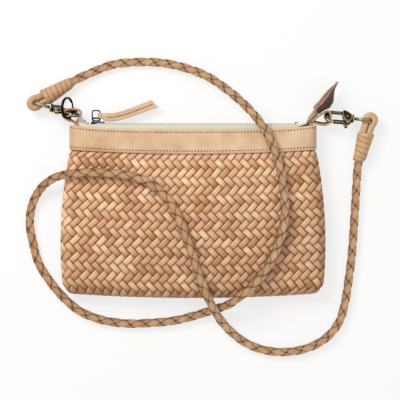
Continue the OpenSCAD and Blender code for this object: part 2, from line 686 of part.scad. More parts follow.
// The strap's route from the left binding to the right one, over the table, the bag and itself.
strap_route = [
    [-103, 69.5, 4.6], [-80, 78, 4.5], [-55, 80.5, 4.5], [-30, 79.5, 5.2], [-6, 74, 8], [14, 66, 11.5],
    [32, 54, 15.8], [48, 40.5, 20.4], [60, 28, 24.2], [69, 16.5, 26.4], [78, -1, 27], [85, -20.5, 29],
    [89.5, -41, 31.3], [91, -62, 32.9], [90, -84, 34], [84, -104, 34.2], [75, -123.5, 33.4],
    [61.5, -141, 31.6], [47, -154, 28.2], [36, -162, 20.5], [22, -167.5, 10.5], [4, -173.5, 5],
    [-18, -179, 4.5], [-43, -181.5, 4.5], [-68, -182, 4.5], [-93, -178, 4.5], [-113, -170, 4.5],
    [-130, -156, 4.5], [-144.5, -138.5, 4.5], [-155, -121.5, 4.5], [-160.5, -102, 4.5],
    [-164, -81, 4.5], [-162, -64.5, 4.6], [-153, -47, 9], [-138.5, -36, 18.8], [-118, -31.5, 28.5],
    [-96, -30.5, 30], [-74, -32, 31.4], [-54, -36, 32.8], [-36.5, -46, 35.3], [-22.5, -60, 37.6],
    [-14.5, -74.5, 39], [-7.5, -93, 39.4], [-0.5, -112.5, 38.2], [6, -133, 35], [13, -150.5, 30.4],
    [20, -165.5, 21.8], [28.5, -179.5, 12.5], [39, -191, 6.3], [53, -201.5, 4.5], [73, -209, 4.5],
    [96, -210.5, 4.5], [117, -206, 4.5], [135.5, -195, 4.5], [147, -180, 4.5], [152.5, -162, 4.5],
    [156, -140.5, 4.5], [159, -118, 4.5], [161, -94, 4.5], [162.5, -70, 4.5], [164, -46, 4.6]];
strap_sides = 8;

// Where a binding ends, and the way its axis runs there
function bind_axis(left) = let (dir = left ? left_bind_dir : right_bind_dir)
    [cos(dir) * cos(bind_drop), sin(dir) * cos(bind_drop), -sin(bind_drop)];
function bind_end(left) = let (at = left ? left_bind_at : right_bind_at)
    [at[0], at[1], bind_z] + (bind_l + clr) * bind_axis(left);
function strap_ring(p, way) = let (t = way / norm(way), e = cross([0, 0, 1], t), s = e / norm(e),
        up = cross(t, s))
    [for (j = [0:strap_sides - 1]) let (a = 360 * j / strap_sides)
        p + strap_d / 2 * (cos(a) * s + sin(a) * up)];

module strap() {
    line = concat([bind_end(true)], strap_route, [bind_end(false)]);
    last = len(line) - 1;
    color(braid_c) loft([for (i = [0:last]) strap_ring(line[i], i == 0 ? bind_axis(true)
        : i == last ? -bind_axis(false) : line[i + 1] - line[i - 1])]);
}

woven_body();
front_band();
rear_band();
zip_tape_front();
zip_tape_rear();
zip_teeth_front();
zip_teeth_rear();
zip_stops();
zip_tail();
zip_end_tab();
zip_slider();
pull_ring();
zip_pull();
left_tab();
right_tab();
key_ring();
left_hook();
left_gate();
left_gate_pin();
left_eye();
right_hook();
right_gate();
right_gate_pin();
right_eye();
strap();
left_strap_loop();
right_strap_loop();
left_binding();
right_binding();
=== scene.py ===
"""Looks of a woven leather zip clutch with a braided strap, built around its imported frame."""

import logging
import math
import random
from dataclasses import dataclass, field
from enum import Enum
from typing import Callable, Iterable, Optional, Sequence

import bmesh
import bpy
import numpy as np
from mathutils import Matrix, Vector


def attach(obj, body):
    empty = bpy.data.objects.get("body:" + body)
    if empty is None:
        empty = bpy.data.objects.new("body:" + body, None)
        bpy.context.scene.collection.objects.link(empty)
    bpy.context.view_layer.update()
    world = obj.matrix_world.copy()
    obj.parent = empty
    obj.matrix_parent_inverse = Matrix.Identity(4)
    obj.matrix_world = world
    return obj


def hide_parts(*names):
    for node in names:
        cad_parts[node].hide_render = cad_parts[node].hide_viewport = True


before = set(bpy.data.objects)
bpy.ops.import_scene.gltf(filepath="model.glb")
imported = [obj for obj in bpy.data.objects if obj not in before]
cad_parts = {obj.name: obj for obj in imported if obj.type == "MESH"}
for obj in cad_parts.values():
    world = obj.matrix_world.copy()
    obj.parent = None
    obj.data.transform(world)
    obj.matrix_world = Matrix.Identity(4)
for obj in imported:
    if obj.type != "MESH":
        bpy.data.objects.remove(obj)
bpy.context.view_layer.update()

LOG = logging.getLogger("clutch")
MM = 0.001
SEED = 11
MID_TONE = 0.45
TINY = 1e-9
UP = (0, 0, 1)
AWAY_FROM_LIGHT = (0.7, -0.7, 0.0)
Point = np.ndarray
Piece, Finish = bpy.types.Object, bpy.types.Material
Tree, Node, Socket = bpy.types.NodeTree, bpy.types.Node, bpy.types.NodeSocket


class Body(str, Enum):
    """Bodies of the frame that pieces ride on."""

    BAG = "bag"
    SLIDER = "slider"
    PULL = "pull"
    KEY_RING = "key_ring"
    LEFT_HOOK = "left_hook"
    LEFT_GATE = "left_gate"
    RIGHT_HOOK = "right_hook"
    RIGHT_GATE = "right_gate"


class Face(int, Enum):
    """Which of the two faces of the bag a piece lies on."""

    FRONT = 1
    REAR = -1

    @property
    def word(self) -> str:
        """The face's word in the names of pieces and nodes."""
        return self.name.lower()


class Hand(str, Enum):
    """Which end of the mouth a piece belongs to."""

    LEFT = "left"
    RIGHT = "right"


def linear(code: str) -> tuple[float, float, float, float]:
    """Turn an sRGB hex colour into linear values.

    Args:
        code: colour such as "#C99A70".

    Returns:
        Linear red, green and blue, and full opacity.
    """
    parts = [int(code[i:i + 2], 16) / 255 for i in (1, 3, 5)]
    lin = [c / 12.92 if c <= 0.04045 else ((c + 0.055) / 1.055) ** 2.4 for c in parts]
    return lin[0], lin[1], lin[2], 1.0


def feed(tree: Tree, node: Node, inputs: dict) -> None:
    """Set the inputs of a node.

    Args:
        tree: node tree that holds the node.
        node: node whose inputs are set.
        inputs: input name or index to a value, or to the socket that feeds it.
    """
    for key, value in inputs.items():
        if isinstance(value, Socket):
            tree.links.new(value, node.inputs[key])
        else:
            node.inputs[key].default_value = value


def add(tree: Tree, kind: str, inputs: Optional[dict] = None,
        **settings: object) -> Node:
    """Add one node with its settings, values and links.

    Args:
        tree: node tree that gets the node.
        kind: Blender's name of the node type.
        inputs: input name or index to a value, or to the socket that feeds it.
        settings: attributes set on the node.

    Returns:
        The new node.
    """
    made = tree.nodes.new(kind)
    for name, value in settings.items():
        setattr(made, name, value)
    feed(tree, made, inputs or {})
    return made


def mesh_object(name: str, points: Iterable[Sequence[float]], faces: Iterable[Sequence[int]],
                finish: Optional[Finish] = None) -> Piece:
    """Make a smooth-shaded mesh object at the origin.

    Args:
        name: name of the piece.
        points: corners in metres.
        faces: corner numbers of each face.
        finish: material of the whole piece.

    Returns:
        The object, linked to the scene.
    """
    mesh = bpy.data.meshes.new(name)
    mesh.from_pydata([tuple(p) for p in points], [], [tuple(f) for f in faces])
    mesh.shade_smooth()
    if finish is not None:
        mesh.materials.append(finish)
    made = bpy.data.objects.new(name, mesh)
    bpy.context.scene.collection.objects.link(made)
    return made


def tube(rings: Sequence[Sequence[Sequence[float]]], first: int = 0) -> tuple[list, list]:
    """Close a row of rings into a skin with capped ends.

    Args:
        rings: rings of equally many points.
        first: number of the first point.

    Returns:
        Points and faces.
    """
    n, m = len(rings[0]), len(rings)
    points = [p for ring in rings for p in ring]
    faces = [tuple(first + j for j in reversed(range(n))),
             tuple(first + (m - 1) * n + j for j in range(n))]
    for i in range(m - 1):
        for j in range(n):
            k = (j + 1) % n
            faces.append((first + i * n + j, first + i * n + k,
                          first + (i + 1) * n + k, first + (i + 1) * n + j))
    return points, faces


def grid_faces(columns: int, rows: int) -> list[tuple[int, int, int, int]]:
    """Faces of a sheet whose points are listed row by row.

    Args:
        columns: points in a row.
        rows: number of rows.

    Returns:
        The corner numbers of each face.
    """
    return [(j * columns + i, j * columns + i + 1, (j + 1) * columns + i + 1, (j + 1) * columns + i)
            for j in range(rows - 1) for i in range(columns - 1)]


def put_attribute(owner: Piece, name: str, values: Sequence, kind: str = "FLOAT") -> None:
    """Store one value for each point of a mesh.

    Args:
        owner: object whose mesh gets the attribute.
        name: name of the attribute.
        values: one number or vector for each point.
        kind: FLOAT or FLOAT_VECTOR.
    """
    made = owner.data.attributes.new(name, kind, "POINT")
    flat = np.asarray(values, np.float32).ravel()
    made.data.foreach_set("vector" if kind == "FLOAT_VECTOR" else "value", flat)


def put_even(owner: Piece, name: str, value: float) -> None:
    """Store the same number for every point of a mesh."""
    put_attribute(owner, name, [value] * len(owner.data.vertices))


def change_attribute(owner: Piece, name: str,
                     change: Callable[[np.ndarray], np.ndarray]) -> None:
    """Change the number that each point of a mesh holds.

    Args:
        owner: object whose mesh has the attribute.
        name: name of the attribute.
        change: gives the new numbers for the old ones.
    """
    held = owner.data.attributes[name].data
    values = np.empty(len(held), np.float32)
    held.foreach_get("value", values)
    held.foreach_set("value", change(values).astype(np.float32))


def turn_out(owner: Piece) -> None:
    """Merge double points of a mesh and turn its faces outwards."""
    bm = bmesh.new()
    bm.from_mesh(owner.data)
    bmesh.ops.remove_doubles(bm, verts=bm.verts, dist=1e-6)
    bmesh.ops.recalc_face_normals(bm, faces=bm.faces)
    bm.to_mesh(owner.data)
    bm.free()


def ease(t: float) -> float:
    """Smooth step from 0 to 1."""
    c = min(1.0, max(0.0, t))
    return c * c * (3 - 2 * c)


def unit(v: Point) -> Point:
    """A vector of length one."""
    return v / np.linalg.norm(v)


def heading(path: Sequence[Point], i: int) -> Point:
    """Way that a path runs at one of its points, from the point before it to the one after."""
    return path[min(i + 1, len(path) - 1)] - path[max(i - 1, 0)]


def side_and_up(way: Point) -> tuple[Point, Point]:
    """The level direction across a way, and the one that stands on both."""
    side = unit(np.cross(UP, way))
    return side, np.cross(way, side)


def ring_round(at: Point, side: Point, up: Point, radius: float, count: int) -> list[Point]:
    """Points in metres on a circle whose middle and radius are in millimetres."""
    return [(at + radius * (math.cos(a) * side + math.sin(a) * up)) * MM
            for a in np.linspace(0, 2 * math.pi, count, endpoint=False)]


def path_length(path: Sequence[Point]) -> float:
    """Length of a path from its first to its last point."""
    return sum(float(np.linalg.norm(b - a)) for a, b in zip(path, path[1:]))


def join(name: str, parts: Sequence[Piece]) -> Piece:
    """Join several mesh objects into one, keeping their materials.

    Args:
        name: name of the joined piece.
        parts: objects at the origin.

    Returns:
        The joined object.
    """
    with bpy.context.temp_override(active_object=parts[0], selected_editable_objects=list(parts)):
        bpy.ops.object.join()
    parts[0].name = name
    parts[0].data.name = name
    return parts[0]


def bake(owner: Piece) -> None:
    """Keep what an object's modifiers make of it as its plain, smooth mesh."""
    seen = owner.evaluated_get(bpy.context.evaluated_depsgraph_get())
    mesh = bpy.data.meshes.new_from_object(seen)
    owner.modifiers.clear()
    owner.data = mesh
    mesh.name = owner.name
    mesh.shade_smooth()


# Node trees that lay repeated things


def laying_tree(on_skin: bool) -> Tree:
    """Build the tree that copies an element to each point and may bend all of it onto a skin.

    The points hold a float "turn" and a float "tone". A skin holds its flat coordinates as the UV
    map "flat" and its outward direction as the attribute "outward".

    Args:
        on_skin: whether the copies are flat and get bent onto a skin.

    Returns:
        The node tree.
    """
    name = "lay_on_skin" if on_skin else "lay_on_points"
    tree = bpy.data.node_groups.new(name, "GeometryNodeTree")
    sockets = [("Geometry", "OUTPUT", "Geometry"), ("Geometry", "INPUT", "Geometry"),
               ("Element", "INPUT", "Object"), ("Finish", "INPUT", "Material")]
    if on_skin:
        sockets += [("Skin", "INPUT", "Object"), ("Way Round", "INPUT", "Float")]
    for name, way, kind in sockets:
        tree.interface.new_socket(name, in_out=way, socket_type=f"NodeSocket{kind}")
    start = add(tree, "NodeGroupInput").outputs
    element = add(tree, "GeometryNodeObjectInfo", {"Object": start["Element"]})
    turn = add(tree, "GeometryNodeInputNamedAttribute", {"Name": "turn"}, data_type="FLOAT")
    angle = add(tree, "ShaderNodeCombineXYZ", {"Z": turn.outputs[0]})
    rotation = add(tree, "FunctionNodeEulerToRotation", {0: angle.outputs[0]})
    laid = add(tree, "GeometryNodeInstanceOnPoints",
               {"Points": start["Geometry"], "Instance": element.outputs["Geometry"],
                "Rotation": rotation.outputs[0]})
    flat = add(tree, "GeometryNodeRealizeInstances", {0: laid.outputs[0]}).outputs[0]
    if on_skin:
        skin = add(tree, "GeometryNodeObjectInfo", {"Object": start["Skin"]}).outputs["Geometry"]
        spot = add(tree, "GeometryNodeInputPosition").outputs[0]
        place = add(tree, "ShaderNodeSeparateXYZ", {0: spot})
        around = add(tree, "ShaderNodeMath", {0: place.outputs[1], 1: start["Way Round"], 2: 0.0},
                     operation="WRAP")
        uv = add(tree, "ShaderNodeCombineXYZ", {0: place.outputs[0], 1: around.outputs[0]})
        flat_map, outward = (
            add(tree, "GeometryNodeInputNamedAttribute", {"Name": held},
                data_type="FLOAT_VECTOR").outputs[0]
            for held in ("flat", "outward"))
        found = [add(tree, "GeometryNodeSampleUVSurface",
                     {0: skin, 1: value, 2: flat_map, 3: uv.outputs[0]}, data_type="FLOAT_VECTOR")
                 for value in (spot, outward)]
        up = add(tree, "ShaderNodeVectorMath", {0: found[1].outputs[0], "Scale": place.outputs[2]},
                 operation="SCALE")
        bent = add(tree, "ShaderNodeVectorMath", {0: found[0].outputs[0], 1: up.outputs[0]},
                   operation="ADD")
        flat = add(tree, "GeometryNodeSetPosition",
                   {"Geometry": flat, "Position": bent.outputs[0]}).outputs[0]
    whole = add(tree, "GeometryNodeRealizeInstances", {0: flat})
    done = add(tree, "GeometryNodeSetMaterial",
               {"Geometry": whole.outputs[0], "Material": start["Finish"]})
    add(tree, "NodeGroupOutput", {0: done.outputs[0]})
    return tree


@dataclass
class Layer:
    """Lays copies of one element over points, flat or bent onto a skin."""

    skin_tree: Tree = field(default_factory=lambda: laying_tree(True))
    point_tree: Tree = field(default_factory=lambda: laying_tree(False))

    def lay(self, name: str, element: Piece, points: Sequence[Sequence[float]],
            turns: Sequence[float], tones: Sequence[float], finish: Finish,
            skin: Optional[Piece] = None, way_round: float = 100.0) -> Piece:
        """Lay the element and keep the result as a plain mesh.

        Args:
            name: name of the piece.
            element: mesh that is copied; it is removed afterwards.
            points: places in metres, flat ones where a skin is given.
            turns: turn of each copy about its Z axis.
            tones: shade of each copy, from 0 to 1.
            finish: material of the copies.
            skin: surface that the copies are bent onto; it stays.
            way_round: length after which the flat Y starts again.

        Returns:
            The piece.
        """
        made = mesh_object(name, points, [])
        put_attribute(made, "turn", turns)
        put_attribute(made, "tone", tones)
        draw = random.Random(SEED)
        put_attribute(made, "blush", [draw.random() for _ in points])
        tree = self.skin_tree if skin else self.point_tree
        values = {"Element": element, "Finish": finish, "Skin": skin, "Way Round": way_round}
        laying = made.modifiers.new("laying", "NODES")
        laying.node_group = tree
        for item in tree.interface.items_tree:
            if item.in_out == "INPUT" and item.name in values:
                laying[item.identifier] = values[item.name]
        bake(made)
        bpy.data.objects.remove(element)
        return made


def sheet_skin(name: str, place: Callable[[float, float], Point], xs: Sequence[float],
               ys: Sequence[float]) -> Piece:
    """Sample a surface so that things can be laid on it.

    Args:
        name: name of the helper object.
        place: gives the point in metres at flat coordinates in metres.
        xs: flat coordinates along X.
        ys: flat coordinates along Y.

    Returns:
        A helper mesh with its flat coordinates and outward directions.
    """
    step = 0.4 * MM
    points, outward = [], []
    for y in ys:
        for x in xs:
            along = place(x + step, y) - place(x - step, y)
            across = place(x, y + step) - place(x, y - step)
            points.append(place(x, y))
            outward.append(unit(np.cross(along, across)))
    w = len(xs)
    made = mesh_object(name, points, grid_faces(w, len(ys)))
    put_attribute(made, "outward", outward, "FLOAT_VECTOR")
    flat = made.data.uv_layers.new(name="flat")
    for loop in made.data.loops:
        flat.data[loop.index].uv = (xs[loop.vertex_index % w], ys[loop.vertex_index // w])
    return made


def cushion(name: str, length: float, width: float, crown: float, foot: float,
            tip_drop: float, cells: tuple[int, int] = (8, 5)) -> Piece:
    """A crowned flat piece of lace that dips at its ends, with sides down to its foot.

    Args:
        name: name of the element.
        length: length along X, in metres.
        width: width along Y.
        crown: height of its middle.
        foot: height of its lower rim.
        tip_drop: how far its ends lie under the middle.
        cells: faces along and across.

    Returns:
        The element, with the attribute "rim" that grows from 0 to 1 towards its sides and ends,
        where it is painted shade.
    """
    nx, ny = cells
    crowding, side_power, tip_power, rim_power = 0.94, 4.5, 5, 1.6
    side_fall, arch_share, foot_long, foot_wide = 0.3, 0.45, 1.015, 1.02
    points, rims = [], []
    for j in range(ny + 1):
        b = math.sin((j / ny - 0.5) * math.pi * crowding)
        for i in range(nx + 1):
            a = math.sin((i / nx - 0.5) * math.pi * crowding)
            side = abs(b) ** side_power
            arch = arch_share * a * a + (1 - arch_share) * abs(a) ** 4
            points.append((a * length / 2, b * width / 2,
                           crown - side_fall * crown * side - tip_drop * arch))
            # painted shade where the sides fall away and the ends dive under
            rims.append(max(side ** rim_power, abs(a) ** tip_power))
    row = nx + 1
    faces = grid_faces(row, ny + 1)
    rim = (list(range(row)) + [j * row + nx for j in range(1, ny + 1)]
           + [ny * row + i for i in reversed(range(nx))]
           + [j * row for j in reversed(range(1, ny))])
    base = len(points)
    for k in rim:
        x, y, _ = points[k]
        points.append((x * foot_long, y * foot_wide, foot))
        rims.append(1.0)
    n = len(rim)
    faces += [(rim[k], base + k, base + (k + 1) % n, rim[(k + 1) % n]) for k in range(n)]
    made = mesh_object(name, points, faces)
    put_attribute(made, "rim", rims)
    return made


def shade_by_light(owner: Piece, deepen: float, even: float, lean: float) -> None:
    """Deepen the sides of laid leather that face away from the light, and pale the other edges.

    Args:
        owner: piece with the attributes "tone" and "rim".
        deepen: how much deeper its far sides get.
        even: darkness kept by an edge that faces neither way.
        lean: how much darker or paler an edge gets as it turns.
    """
    normals = np.empty(3 * len(owner.data.vertices), np.float32)
    owner.data.vertices.foreach_get("normal", normals)
    away = (normals.reshape(-1, 3) @ np.array(AWAY_FROM_LIGHT)).astype(np.float32)
    change_attribute(owner, "tone", lambda values: values + deepen * away)
    change_attribute(owner, "rim", lambda values: values * np.clip(even + lean * away, 0, 1))


def deepen_left(owner: Piece, reach: float) -> None:
    """Deepen the tone of a piece towards its left, as painted shade.

    Args:
        owner: piece with the attribute "tone".
        reach: length in metres over which the tone deepens.
    """
    start, most = -20 * MM, 0.12
    more = np.array([most * ease((start - v.co.x) / reach) for v in owner.data.vertices])
    change_attribute(owner, "tone", lambda values: values + more)


def lens_strip(name: str, centres: Sequence[Point], sideways: Point, half_w: float, half_t: float,
               height: Callable[[float, float], tuple[float, float]],
               square: float = 1.0) -> Piece:
    """A long flat lace in flat coordinates, with a lens-shaped section.

    Args:
        name: name of the element.
        centres: flat middle of each ring.
        sideways: flat direction across the lace.
        half_w: half its width.
        half_t: half its thickness.
        height: gives the height at a flat place, and the painted shade where it is tucked under,
            from 0 to 1.
        square: 1 for a lens, more for a flatter face with sharper sides.

    Returns:
        The element, with the attribute "rim": painted shade at its sides and where it is tucked
        under.
    """
    sides, spread, rim_power = 12, 0.7, 4.5
    rings, rims = [], []
    for centre in centres:
        ring = []
        for j in range(sides):
            a = 2 * math.pi * j / sides
            c = math.copysign(abs(math.cos(a)) ** spread, math.cos(a))
            spot = centre + sideways * half_w * c
            up, under = height(spot[0], spot[1])
            rise = math.copysign(abs(math.sin(a)) ** (1 / square), math.sin(a))
            ring.append((spot[0], spot[1], up + half_t * rise))
            # painted shade at the lace's sides and where it is tucked under
            rims.append(max(abs(c) ** (rim_power * square), under))
        rings.append(ring)
    made = mesh_object(name, *tube(rings))
    put_attribute(made, "rim", rims)
    turn_out(made)
    return made


# Finishes


def new_material(name: str) -> tuple[Finish, Node, Socket]:
    """Start a material with Blender's own surface shader.

    Args:
        name: name of the real material and how its surface was made.

    Returns:
        The material, its shader and the place of each point on the object.
    """
    made = bpy.data.materials.new(name)
    made.use_nodes = True
    place = add(made.node_tree, "ShaderNodeTexCoord").outputs["Object"]
    return made, made.node_tree.nodes["Principled BSDF"], place


@dataclass(frozen=True)
class Leather:
    """Vegetable-tanned leather: pale tan grain, satin, darker and redder where worn or cut; its rim
    colour also paints shade between and under laced pieces.
    """

    name: str
    pale: str
    deep: str
    rim: str
    roughness: float = 0.5
    pore_mm: float = 0.55
    cloud_mm: float = 22.0
    pore_depth_mm: float = 0.05
    rim_share: float = 0.75
    blush: str = "#C58A6C"
    blush_share: float = 0.5
    mottle: float = 0.9

    def material(self) -> Finish:
        """Build the material.

        Returns:
            A leather whose shade follows the attributes "tone", "blush" and "rim".
        """
        made, shader, place = new_material(self.name)
        tree = made.node_tree
        tone, rim, blush = (add(tree, "ShaderNodeAttribute", attribute_name=name).outputs["Fac"]
                            for name in ("tone", "rim", "blush"))
        clouds = add(tree, "ShaderNodeTexNoise",
                     {"Vector": place, "Scale": 1 / (self.cloud_mm * MM), "Detail": 5.0,
                      "Roughness": 0.6})
        cloud = add(tree, "ShaderNodeMath", {0: clouds.outputs["Fac"], 1: self.mottle,
                                             2: -self.mottle / 2}, operation="MULTIPLY_ADD")
        shade = add(tree, "ShaderNodeMath", {0: cloud.outputs[0], 1: tone}, operation="ADD",
                    use_clamp=True)
        skin = add(tree, "ShaderNodeMix", {"Factor": shade.outputs[0], "A": linear(self.pale),
                                           "B": linear(self.deep)}, data_type="RGBA")
        warmth = add(tree, "ShaderNodeMath", {0: blush, 1: self.blush_share}, operation="MULTIPLY")
        skin = add(tree, "ShaderNodeMix", {"Factor": warmth.outputs[0], "A": skin.outputs["Result"],
                                           "B": linear(self.blush)}, data_type="RGBA")
        pores = add(tree, "ShaderNodeTexNoise", {"Vector": place, "Scale": 1 / (self.pore_mm * MM),
                                                 "Detail": 3.0, "Roughness": 0.65})
        fleck = add(tree, "ShaderNodeMapRange", {"Value": pores.outputs["Fac"], "From Min": 0.3,
                                                 "From Max": 0.7, "To Min": 0.93, "To Max": 1.04})
        grained = add(tree, "ShaderNodeMix",
                      {"Factor": 1.0, "A": skin.outputs["Result"], "B": fleck.outputs[0]},
                      data_type="RGBA", blend_type="MULTIPLY")
        # rim colour: worn or cut edges, and painted shade between and under laid strips, laces and
        # loops
        worn = add(tree, "ShaderNodeMath", {0: rim, 1: self.rim_share}, operation="MULTIPLY")
        edged = add(tree, "ShaderNodeMix",
                    {"Factor": worn.outputs[0], "A": grained.outputs["Result"],
                     "B": linear(self.rim)}, data_type="RGBA")
        bump = add(tree, "ShaderNodeBump", {"Height": pores.outputs["Fac"], "Strength": 0.35,
                                            "Distance": self.pore_depth_mm * MM})
        gloss = add(tree, "ShaderNodeMapRange", {"Value": pores.outputs["Fac"],
                                                 "To Min": self.roughness - 0.08,
                                                 "To Max": self.roughness + 0.12})
        feed(tree, shader, {"Base Color": edged.outputs["Result"], "Normal": bump.outputs[0],
                            "Roughness": gloss.outputs[0], "Specular IOR Level": 0.4})
        return made


@dataclass(frozen=True)
class Metal:
    """Plated or aged metal: bright where hands rub it, with a dull film in between."""

    name: str
    bright: str
    film: str
    roughness: float
    film_share: float
    spot_mm: float = 2.5

    def material(self) -> Finish:
        """Build the material.

        Returns:
            A metal with patches of film.
        """
        made, shader, place = new_material(self.name)
        tree = made.node_tree
        spots = add(tree, "ShaderNodeTexNoise", {"Vector": place, "Scale": 1 / (self.spot_mm * MM),
                                                 "Detail": 4.0, "Roughness": 0.6})
        worn = add(tree, "ShaderNodeAttribute", attribute_name="wear").outputs["Fac"]
        bare = add(tree, "ShaderNodeMath", {0: spots.outputs["Fac"], 1: 0.5, 2: worn},
                   operation="MULTIPLY_ADD")
        film = add(tree, "ShaderNodeMapRange",
                   {"Value": bare.outputs[0], "From Min": self.film_share,
                    "From Max": self.film_share + 0.45, "To Min": 1.0, "To Max": 0.0})
        colour = add(tree, "ShaderNodeMix", {"Factor": film.outputs[0], "A": linear(self.bright),
                                             "B": linear(self.film)}, data_type="RGBA")
        rough = add(tree, "ShaderNodeMapRange", {"Value": film.outputs[0], "To Min": self.roughness,
                                                 "To Max": min(1.0, self.roughness + 0.18)})
        bump = add(tree, "ShaderNodeBump", {"Height": spots.outputs["Fac"], "Strength": 0.15,
                                            "Distance": 0.08 * MM})
        feed(tree, shader, {"Base Color": colour.outputs["Result"], "Roughness": rough.outputs[0],
                            "Normal": bump.outputs[0], "Metallic": 1.0})
        return made


@dataclass(frozen=True)
class Cloth:
    """Cotton zip tape: a fine herringbone of dull cream yarn."""

    name: str
    pale: str
    deep: str
    yarn_mm: float = 0.55

    def material(self) -> Finish:
        """Build the material.

        Returns:
            A woven cotton with raised yarns.
        """
        made, shader, place = new_material(self.name)
        tree = made.node_tree
        # drawn about twice as coarse as the real yarn, which would not show
        warp = add(tree, "ShaderNodeTexWave", {"Vector": place, "Scale": 0.31 / (self.yarn_mm * MM),
                                               "Distortion": 0.4}, bands_direction="DIAGONAL")
        colour = add(tree, "ShaderNodeMix", {"Factor": warp.outputs["Fac"], "A": linear(self.deep),
                                             "B": linear(self.pale)}, data_type="RGBA")
        bump = add(tree, "ShaderNodeBump", {"Height": warp.outputs["Fac"], "Strength": 0.5,
                                            "Distance": 0.12 * MM})
        feed(tree, shader, {"Base Color": colour.outputs["Result"], "Normal": bump.outputs[0],
                            "Roughness": 0.92, "Specular IOR Level": 0.2})
        return made


@dataclass
class Finishes:
    """All finishes of the clutch."""

    # strips of tanned hide, waxed: satin, with painted light where they rise and painted shade,
    # nearly black, in the cuts between them
    woven: Finish = field(default_factory=Leather(
        "woven_veg_tan_strips", "#FACFA2", "#B57A48", "#2E1308", rim_share=1.0,
        blush="#D0936F").material)
    # the strips' backs in the depth of the weave: painted shade, dull and nearly black
    ground: Finish = field(default_factory=Leather(
        "shaded_strip_backs", "#3A1E0E", "#241206", "#241206", roughness=0.8).material)
    # the hide's smooth grain side: pale and cloudy, with fine pores and rubbed edges
    band: Finish = field(default_factory=Leather(
        "smooth_veg_tan_band", "#EACAA8", "#BE946D", "#E4B898", pore_mm=0.7, cloud_mm=17.0,
        rim_share=0.6, mottle=1.3).material)
    # lace that hands have darkened: tan and uneven, with dark lines where it crosses
    # tan and uneven lace: its deep colour is also painted shade on the sides away from the light,
    # with dark lines of painted shade where the laces cross
    braid: Finish = field(default_factory=Leather(
        "braided_veg_tan_lace", "#EAC295", "#87572E", "#2A1405", rim_share=1.0, blush="#C88F66",
        cloud_mm=9.0).material)
    # the cut through a hide: pinker and duller than its face; its dark rim colour is painted shade
    # inside the tabs' loops
    edge: Finish = field(default_factory=Leather(
        "raw_edge_of_veg_tan", "#D0A283", "#A87556", "#2E1812", roughness=0.65, cloud_mm=8.0,
        rim_share=1.0).material)
    # the hide's inner side: a matt nap, painted dark as shade, between pale cut edges
    flesh: Finish = field(default_factory=Leather(
        "flesh_side_of_veg_tan", "#7D665D", "#3A2620", "#B08572", roughness=0.85, cloud_mm=5.0,
        rim_share=1.0, mottle=1.6).material)
    # unbleached cotton: cream and quite dull
    tape: Finish = field(default_factory=Cloth(
        "cotton_zip_tape", "#EDE8D6", "#CFC9B2").material)
    # a cast slider, plated grey: bright on its edges
    gunmetal: Finish = field(default_factory=Metal(
        "gunmetal_plated_zinc", "#7C7F84", "#232325", 0.25, 0.36).material)
    # cast brass with a dark patina, rubbed pale where it stands out
    brass: Finish = field(default_factory=Metal(
        "antique_brass", "#D2C394", "#2F281B", 0.3, 0.36).material)
    # plated spring wire: black with a thin gleam
    black: Finish = field(default_factory=Metal(
        "black_nickel_wire", "#5C5C60", "#1A1A1C", 0.25, 0.25).material)
    # pressed teeth, oxidised: nearly black and half matt
    teeth: Finish = field(default_factory=Metal(
        "blackened_zip_teeth", "#3A3937", "#0D0D0E", 0.4, 0.5).material)
    # waxed linen thread: dark brown with a slight sheen
    thread: Finish = field(default_factory=Leather(
        "waxed_brown_thread", "#4A2413", "#2E150A", "#1E0D06", roughness=0.7, pore_mm=0.3).material)


def settle(piece: Piece, body: Body, slot: str, *nodes: str) -> Piece:
    """Say where a finished piece belongs.

    Args:
        piece: finished piece.
        body: body that it moves with.
        slot: name of a material slot; not used.
        nodes: nodes of the frame that it stands for.

    Returns:
        The piece.
    """
    if "tone" not in piece.data.attributes:
        put_even(piece, "tone", MID_TONE)
    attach(piece, body.value)
    if nodes:
        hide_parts(*nodes)
    LOG.info("%s: %d faces on %s", piece.name, len(piece.data.polygons), body.value)
    return piece


def put_wear(owner: Piece) -> None:
    """Store how far each point stands out from its neighbours, as the attribute "wear"."""
    passes, gain = 3, 6
    bm = bmesh.new()
    bm.from_mesh(owner.data)
    out = []
    for v in bm.verts:
        near = [e.other_vert(v).co for e in v.link_edges]
        mid = sum(near, start=near[0] * 0) / len(near)
        reach = sum((c - v.co).length for c in near) / len(near)
        out.append((v.co - mid).dot(v.normal) / reach)
    bm.free()
    mean = np.array(out)
    for _ in range(passes):
        spread, count = mean.copy(), np.ones(len(mean))
        for edge in owner.data.edges:
            a, b = edge.vertices
            spread[a] += mean[b]
            spread[b] += mean[a]
            count[a] += 1
            count[b] += 1
        mean = spread / count
    put_attribute(owner, "wear", np.clip(mean * gain, 0, 1))


def softened(node: str, name: str, voxel_mm: float, passes: int, finish: Finish,
             swell_mm: float = 0.0) -> Piece:
    """A copy of a node with worn, rounded edges.

    Args:
        node: node of the frame.
        name: name of the piece.
        voxel_mm: fineness of the new skin.
        passes: how often it is smoothed.
        finish: its material.
        swell_mm: how much fuller it gets.

    Returns:
        The piece.
    """
    made = bpy.data.objects.new(name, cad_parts[node].data.copy())
    bpy.context.scene.collection.objects.link(made)
    turn_out(made)
    skin = made.modifiers.new("skin", "REMESH")
    skin.mode = "VOXEL"
    skin.voxel_size = voxel_mm * MM
    wear = made.modifiers.new("wear", "SMOOTH")
    wear.factor = 0.5
    wear.iterations = passes
    if swell_mm:
        swell = made.modifiers.new("swell", "DISPLACE")
        swell.mid_level = 0.0
        swell.strength = swell_mm * MM
    bake(made)
    made.data.materials.clear()
    made.data.materials.append(finish)
    put_wear(made)
    return made


# The pouch


